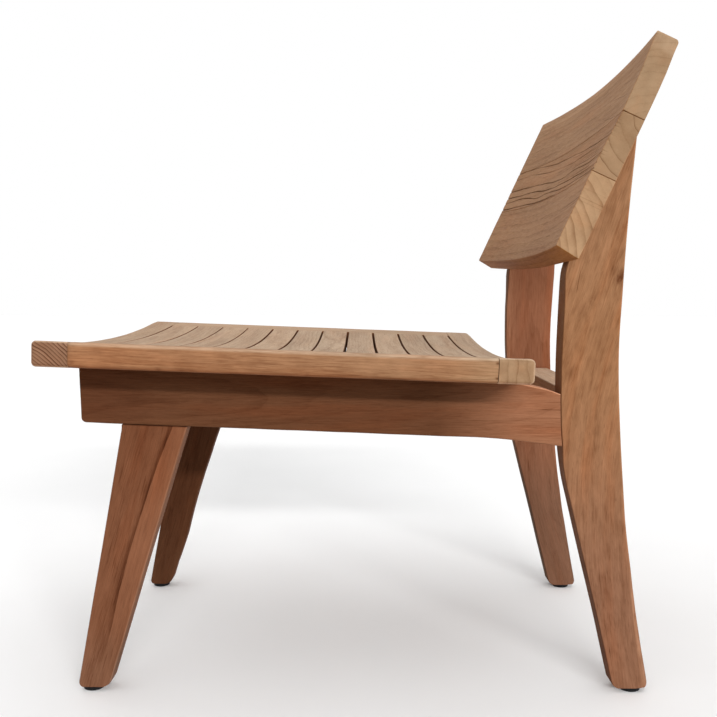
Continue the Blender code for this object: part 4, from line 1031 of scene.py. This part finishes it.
# Rear legs: the sides turned ahead are darkened and the near leg's rear bevel lightened by facing, painted shade and a
# painted highlight; the far leg's inner side is tinted by facing to its shade.
for tag, s in SIDES:
    if s > 0:
        mat = teak(f"teak_rear_leg_{tag}", LEG_REAR, pith=(-70.0, 262.0), spacing=6.5, drift=0.045, warp=11.0, ring=0.13, fibre=0.25,
                   streak=0.22, broad=0.20, pores=0.50, figure=(0.25, 21.0, 8.0, 0.10), red=0.6, edge=1.12,
                   grads=((0, 430.0, 90.0, (0.83, 0.82, 0.98)), (0, 430.0, 560.0, (1.10, 1.15, 1.20))),
                   lines=(check_line((612.5, 496.7), (617.9, 520.9), 0.42),), painted_light_by_facing=((AHEAD, (0.62, 0.55, 0.52), 0.25, 0.85), (BEHIND, (1.26, 1.30, 1.30), 0.10, 0.34)), end=(0.80, 0.76, 0.74),
                   knots=((1, *leg_spot(664.6, 513.9), 5.2, 0.95), (1, *leg_spot(657.0, 521.0), 4.2, 0.40), (1, *leg_spot(620.5, 476.0), 4.5, 0.30),
                          (1, *leg_spot(610.0, 475.0), 3.2, 0.26), (1, *leg_spot(604.3, 398.2), 4.0, 0.30), (1, *leg_spot(613.0, 433.0), 2.6, 0.22)))
        grain = near_grain
    else:
        # The far leg's last grads entry darkens its top: painted shadow of the backrest.
        mat = teak(f"teak_rear_leg_{tag}", LEG_REAR_FAR_SHADED, pith=(14.0, 230.0), spacing=5.0, drift=0.05, warp=7.0, ring=0.13, fibre=0.30,
                   streak=0.24, broad=0.22, red=0.55, knots=((1, *far_spot(672.0, 128.0), 8.0, 0.14),), grads=((0, 300.0, 120.0, (0.67, 0.80, 0.91)), (1, -14.0, -30.0, (1.26, 1.39, 1.46)), (0, 465.0, 515.0, (0.87, 0.86, 0.85))),
                   painted_light_by_facing=((LEFT, (1.02, 0.89, 0.98), -0.05, 0.25), (AHEAD, (0.6, 0.55, 0.52), 0.25, 0.85)),
                   end=(0.80, 0.76, 0.74))
        grain = far_grain
    leg = strip(f"rear_leg_{tag}_fine", REAR_LEVELS, rear_low, rear_high, (1.0, 2.0), 1.4, bevel, 2.0, 62.0,
                lambda a, b, x, t, s=s, tag=tag: world(s * x, b + back_set(a, x) * (1.0 - t) ** 3 + shaped(tag, a, t), a - post_fall(a, b)), grain, mat, [f"rear_leg_{tag}"],
                80 + int(s), planed=planed_off)
    holes = []
    for h, head in BACK_SCREWS:
        tips = [back_point(h, head - 0.6), back_point(h, 130.0)]
        holes.append([(s * FRAME_MID * MM, (y - DEPTH_FRONT) * MM, (z - FLOOR_Z) * MM) for y, z in tips])
    bore_out(leg, holes, BORE_R * MM)

# front legs
(fa, za), (fb, zb) = FRONT_LEG_FRONT
(ra, zc), (rb, zd) = FRONT_LEG_BACK


def front_y(z):
    return fa + (fb - fa) * (z - za) / (zb - za)


def front_back_y(z):
    return ra + (rb - ra) * (z - zc) / (zd - zc)


def apron_bottom(y):
    (ya, zl), (yb, zh) = APRON_LOW
    return zl + (zh - zl) * (y - ya) / (yb - ya)


FRONT_TOP = 334.6
fl_f = round_corner((ra, zc), (fa, za), (fb, zb), 6.0, 12)
fl_b = round_corner((rb, zd), (ra, zc), (fa, za), 14.0, 16)
front_low_curve = curve(fl_f + [(front_y(z), z) for z in (30.0, 328.0)] + [(front_y(332.0) - 0.5, 332.0), (front_y(335.7) - 1.5, 335.7)], 1)
front_high_curve = curve(fl_b + [(front_back_y(z), z) for z in (40.0, 335.7)], 1)
FRONT_LEVELS = dense_levels(FOOT_Z, FRONT_TOP, 5.0, FOOT_STEPS, (0.0, 1.5, 3.0, 5.0, 8.0, 12.0))


def far_high_curve(z):
    """The far leg is planed a little hollow behind."""
    hollow = np.interp(z, (8.0, 41.0, 70.0, 92.0, 144.0, 195.0, 229.0, 330.0), (-0.5, -0.5, 2.0, 3.8, 4.3, 2.8, 3.1, 1.5))
    return front_high_curve(z) + hollow - 5.8 * smoothstep(z, 330.0, 230.0) * smoothstep(z, 40.0, 160.0) - 3.0 * smoothstep(z, 250.0, 120.0)


def front_place(a, b, x, t, s):
    """The leg's top follows the sloping lower edge of the apron."""
    f = smoothstep(a, FRONT_TOP - 60.0, FRONT_TOP)
    z = a + f * (apron_bottom(b) - GAP - FRONT_TOP)
    return world(s * x, b + (1.2 * t if s > 0 else 0.0), z)


# Front legs: the near leg's rear side is lightened by facing, a painted highlight; the far leg's inner side is darkened
# by facing, painted shade.
for tag, s in SIDES:
    near = s > 0
    mat = teak(f"teak_front_leg_{tag}", LEG_FRONT if near else LEG_FRONT_FAR_SHADED, pith=(-30.0, 262.0), spacing=6.0, drift=0.02, warp=6.0, ring=0.13,
               fibre=0.30, streak=0.34, broad=0.28, red=0.5, end=(0.5, 0.45, 0.42), edge=1.16, figure=(0.16, 30.0, 9.0, 0.05),
               grads=((0, 200.0, 330.0, (0.90, 0.85, 0.80)), (0, 110.0, 20.0, (1.10, 1.24, 1.38))) if near else ((0, 170.0, 40.0, (1.12, 1.22, 1.32)),),
               painted_light_by_facing=((BEHIND, (1.2, 1.42, 1.65), 0.15, 0.6),) if near else ((LEFT, (0.512, 0.478, 0.448), -0.05, 0.25),),
               lines=((1, 15.0, -0.1096, 0.000328, 40.0, 440.0, 6.5, 1.2, 0.38, 0.30),
                      (1, -14.0, -0.045, 0.00016, 120.0, 420.0, 5.0, 3.0, 0.12, 0.0)) if near else ())
    strip(f"front_leg_{tag}_fine", FRONT_LEVELS, front_low_curve, front_high_curve if near else far_high_curve, (1.0, 0.3), 2.6, 3.2, 2.6, 60.0,
          lambda a, b, x, t, s=s: front_place(a, b, x, t, s), plank(math.radians(15.5), 20.0, 0.0), mat,
          [f"front_leg_{tag}"], 90 + int(s))

# aprons
flare = smooth_line(list(APRON_FLARE[:-1]) + [(float(leg_edge(APRON_FLARE[-1][1])) - GAP, APRON_FLARE[-1][1])], 10)
flare_curve = curve(flare, 0)


def apron_n(x):
    return -SEAT_T + dish(x, SEAT_SAG) - GAP - 0.15


def seat_line(y, x):
    n = apron_n(x)
    v = (y - n * math.sin(SEAT_SLOPE)) / math.cos(SEAT_SLOPE)
    return SEAT_EDGE_Z - v * math.sin(SEAT_SLOPE) + n * math.cos(SEAT_SLOPE)


rear_top_pts = [(490.0, float(seat_line(490.0, FRAME_OUT))), (535.0, float(seat_line(535.0, FRAME_OUT)))]
for yy, zz in APRON_REAR_TOP:
    rear_top_pts.append((yy, zz if zz > 0 else float(seat_line(yy, FRAME_OUT)) + zz))
rear_top_pts[-1] = (float(leg_edge(rear_top_pts[-1][1])) - GAP, rear_top_pts[-1][1])
rear_top_curve = curve(smooth_line(rear_top_pts, 10), 0)
APRON_END = float(leg_edge(345.0)) - GAP


def apron_low(y):
    base = np.where(y < 480.0, apron_bottom(y), flare_curve(y))
    d = np.clip(y - APRON_FRONT_LOW_Y, 0.0, 6.0)
    return base + 6.0 - np.sqrt(np.maximum(36.0 - (6.0 - d) ** 2, 0.0))


def apron_high(y):
    return np.where(y < 500.0, seat_line(y, FRAME_OUT), rear_top_curve(y))


APRON_LEVELS = dense_levels(APRON_FRONT_LOW_Y, APRON_END, 6.0, (0.0, 0.12, 0.35, 0.7, 1.1, 1.6, 2.3, 3.1, 4.1, 5.2, 6.5, 8.0, 10.0, 14.0),
                            (0.0, 0.3, 0.8, 2.0, 4.0, 7.0, 10.0))


def apron_place(y, z, x, t, s):
    # the top leans with the hollow of the seat, the ends follow their slant and the leg
    z = z + t * (1.0 - smoothstep(y, 535.0, 565.0)) * (dish(x, SEAT_SAG) - dish(FRAME_OUT, SEAT_SAG))
    f = 1.0 - smoothstep(y, APRON_FRONT_LOW_Y, APRON_FRONT_LOW_Y + 60.0)
    y2 = y + f * (APRON_FRONT_TOP_Y - APRON_FRONT_LOW_Y) * np.clip((z - 341.0) / 63.0, 0.0, 1.0)
    e = smoothstep(y, APRON_END - 50.0, APRON_END)
    y2 = y2 + e * (leg_edge(z) - GAP - APRON_END + back_set(z, x))
    return world(s * x, y2, z)


# The near apron's top is lightened by facing: a painted highlight.
for tag, s in SIDES:
    near = s > 0
    # On the near apron the last grads entry darkens the upper front: painted shade under the seat's edge.
    mat = teak(f"teak_apron_{tag}", APRON if near else APRON_FAR_SHADED, pith=(372.0, 262.0), spacing=5.5, drift=0.05, warp=9.0, ring=0.14, fibre=0.30,
               streak=0.18, broad=0.15, red=0.5, figure=(0.10, 46.0, 9.0, 0.05), knots=((1, 827.0, 355.6, 4.5, 0.05),) if near else (),
               painted_light_by_facing=((UP, (2.2, 2.6, 3.0), 0.1, 0.7),) if near else (),
               grads=((0, 740.0, 860.0, (2.34, 2.52, 2.85)), (0, 450.0, 330.0, (0.86, 0.80, 0.78)), (1, 372.0, 388.0, (0.92, 0.86, 0.82))) if near else (),
               lines=((1, 354.6, 0.0, 0.0, 868.0, 910.0, 0.8, 0.8, 0.45, 0.0), (1, 344.5, 0.0, 0.0, 850.0, 905.0, 0.7, 0.7, 0.25, 0.0),
                      (1, 334.0, 0.0, 0.0, 830.0, 905.0, 0.7, 0.7, 0.22, 0.0), (1, 364.0, 0.0, 0.0, 858.0, 905.0, 0.7, 0.7, 0.22, 0.0),
                      (1, 326.5, 0.0, 0.0, 840.0, 900.0, 0.7, 0.7, 0.20, 0.0)) if near else ())
    apron = strip(f"side_apron_{tag}_fine", APRON_LEVELS, apron_low, apron_high, (1.2, 0.4), 2.6, 1.6, 2.6, 66.0,
                  lambda a, b, x, t, s=s: apron_place(a, b, x, t, s),
                  lambda a, b, x, s=s: np.stack([a + 300.0 * s, b, x], axis=1), mat,
                  [f"side_apron_{tag}"], 100 + int(s))
    holes = []
    for k in SEAT_SCREW_SLATS:
        v = sum(slat_span(k)) / 2.0
        ends = []
        for n in (-125.0, SEAT_HEAD_N + 0.6):
            y = v * math.cos(SEAT_SLOPE) + n * math.sin(SEAT_SLOPE)
            z = SEAT_EDGE_Z - v * math.sin(SEAT_SLOPE) + n * math.cos(SEAT_SLOPE)
            ends.append((s * FRAME_MID * MM, (y - DEPTH_FRONT) * MM, (z - FLOOR_Z) * MM))
        holes.append(ends)
    bore_out(apron, holes, BORE_R * MM)

# rails
# The rear rail's sides other than its top are darkened by facing: painted shade.
for name, ys, zs, base, seed in (("front_rail", FRONT_RAIL_Y, FRONT_RAIL_Z, APRON_FAR_SHADED, 110), ("rear_rail", REAR_RAIL_Y, REAR_RAIL_Z, RAIL_REAR, 111)):
    mat = teak("teak_" + name, base, pith=(ys[0] - 60.0, zs[0] - 40.0), spacing=4.2, grey=0.3 if name == "rear_rail" else 0.0,
               painted_light_by_facing=((AHEAD, (0.365, 0.235, 0.17), 0.25, 0.85), (BEHIND, (0.44, 0.32, 0.23), 0.25, 0.85), (DOWN, (0.44, 0.32, 0.23), 0.25, 0.85))
               if name == "rear_rail" else ())
    board(name + "_fine", ticks(-RAIL_END, RAIL_END, (0.5,), (0.5,), 8.0), ticks(ys[0], ys[1], (2.4,), (2.4,), 5.0),
          ticks(zs[0], zs[1], (2.4,), (2.4,), 6.0), (0.5, 0.5, 2.4, 2.4, 2.4),
          lambda q: world(q[:, 0], q[:, 1], q[:, 2]), mat, [name], seed)


# ---------------------------------------------------------------- materials of the small CAD pieces
def plain_grain(name, base, metal, rough, fine, amount, bump, gloss=0.5):
    """Moulded or turned small part: speckled colour, fine tooling marks."""
    g = Graph(name)
    tc = g.nt.nodes.new("ShaderNodeTexCoord")
    v = tc.outputs["Object"]
    n1 = g.noise(g.stretch(v, fine, fine, fine), 3.0, 0.6)
    n2 = g.noise(g.stretch(v, fine * 9, fine * 9, fine * 9, (3.1, 1.0, 7.7)), 2.0, 0.5)
    m = g.add(g.mul(n1, 0.6), g.mul(n2, 0.4))
    col = g.ramp(m, ((0.25, tuple(c * (1 - amount) for c in base)), (0.75, tuple(c * (1 + amount) for c in base))))
    g.put(col, g.bsdf.inputs["Base Color"])
    g.put(g.add(g.mul(g.sub(n1, 0.5), 0.3), rough), g.bsdf.inputs["Roughness"])
    g.bsdf.inputs["Metallic"].default_value = metal
    g.bsdf.inputs["Specular IOR Level"].default_value = gloss
    g.put(g.bump(n1, bump, 0.0002), g.bsdf.inputs["Normal"])
    return g.mat


DOWEL = plain_grain("dowel_beech", (0.46, 0.31, 0.18), 0.0, 0.65, 0.0012, 0.25, 0.4)
STEEL = plain_grain("screw_zinc", (0.52, 0.51, 0.49), 1.0, 0.36, 0.0006, 0.12, 0.25)
RUBBER = plain_grain("glide_nylon", (0.008, 0.008, 0.0085), 0.0, 0.5, 0.0005, 0.35, 0.35, 0.1)
PLUG = plain_grain("plug_teak", (0.185, 0.083, 0.037), 0.0, 0.7, 0.0008, 0.3, 0.4, 0.05)
for name, ob in NODES.items():
    pick = DOWEL if "dowel" in name else STEEL if "screw" in name else RUBBER if "glide" in name else PLUG if "plug" in name else None
    if pick is not None:
        ob.data.materials.clear()
        ob.data.materials.append(pick)

# ---------------------------------------------------------------- floor, light, camera
UPPER = 0.30
KEY = 0.822
OVERHEAD = 0.45
scene = bpy.context.scene
scene.view_settings.view_transform = "Standard"
scene.view_settings.look = "None"

fm = Graph("studio_floor")
tc = fm.nt.nodes.new("ShaderNodeTexCoord")
fn = fm.noise(fm.stretch(tc.outputs["Object"], 0.35, 0.35, 0.35), 3.0, 0.5)
fm.put(fm.ramp(fn, ((0.3, (0.86, 0.86, 0.86)), (0.7, (0.88, 0.88, 0.88)))), fm.bsdf.inputs["Base Color"])
fm.bsdf.inputs["Roughness"].default_value = 0.9
fm.bsdf.inputs["Specular IOR Level"].default_value = 0.1
me = bpy.data.meshes.new("studio_floor")
R = 14.0
me.from_pydata([(R * math.cos(a), R * math.sin(a), 0.0) for a in np.linspace(0, 2 * math.pi, 65)[:-1]], [], [list(range(64))])
floor = bpy.data.objects.new("studio_floor", me)
me.materials.append(fm.mat)
scene.collection.objects.link(floor)

w = bpy.data.worlds.new("studio")
scene.world = w
w.use_nodes = True
wt = w.node_tree
sky = wt.nodes.new("ShaderNodeTexCoord")
height = wt.nodes.new("ShaderNodeSeparateXYZ")
wt.links.new(sky.outputs["Generated"], height.inputs[0])
band = wt.nodes.new("ShaderNodeMapRange")
band.interpolation_type = "SMOOTHSTEP"
for key, value in (("From Min", 0.40), ("From Max", 0.66), ("To Min", 1.0), ("To Max", UPPER)):
    band.inputs[key].default_value = value
wt.links.new(height.outputs["Z"], band.inputs["Value"])
wt.links.new(band.outputs["Result"], wt.nodes["Background"].inputs["Strength"])
wt.nodes["Background"].inputs["Color"].default_value = (1.0, 1.0, 1.0, 1.0)


def sun_light(name, toward, power, angle, color=(1.0, 1.0, 1.0)):
    """Light of even strength from a round patch of the given angular size."""
    ld = bpy.data.lights.new(name, "SUN")
    ld.energy = power * math.pi
    ld.angle = math.radians(angle)
    ld.color = color
    ob = bpy.data.objects.new(name, ld)
    d = Vector(toward).normalized()
    ob.location = d * 3.0
    ob.rotation_euler = d.to_track_quat("Z", "Y").to_euler()
    scene.collection.objects.link(ob)


for k in range(13):             # a long, low strip of light along the chair's side
    sun_light(f"key_{k}", (0.87, 0.26 + 0.0467 * (k - 6), 0.315), KEY / 13.0, 2.6)
sun_light("overhead", (0.0, -0.05, 1.0), OVERHEAD, 85.0)

cam = bpy.data.cameras.new("camera")
cam.sensor_fit = "HORIZONTAL"
cam.sensor_width = 36.0
cam.lens = 36.0 * 883.0 / 717.0
cam.clip_start, cam.clip_end = 0.05, 60.0
cam_ob = bpy.data.objects.new("camera", cam)
scene.collection.objects.link(cam_ob)
PITCH, ROLL = math.radians(4.70), math.radians(0.15)
fw = Vector((-math.cos(PITCH), 0.0, -math.sin(PITCH)))
rt = fw.cross(Vector((0.0, 0.0, 1.0))).normalized()
up = rt.cross(fw)
rt, up = rt * math.cos(ROLL) + up * math.sin(ROLL), up * math.cos(ROLL) - rt * math.sin(ROLL)
cam_ob.matrix_world = Matrix(((rt.x, up.x, -fw.x, 1.2547), (rt.y, up.y, -fw.y, -0.0006), (rt.z, up.z, -fw.z, 0.4993), (0.0, 0.0, 0.0, 1.0)))
scene.camera = cam_ob

bpy.context.view_layer.update()
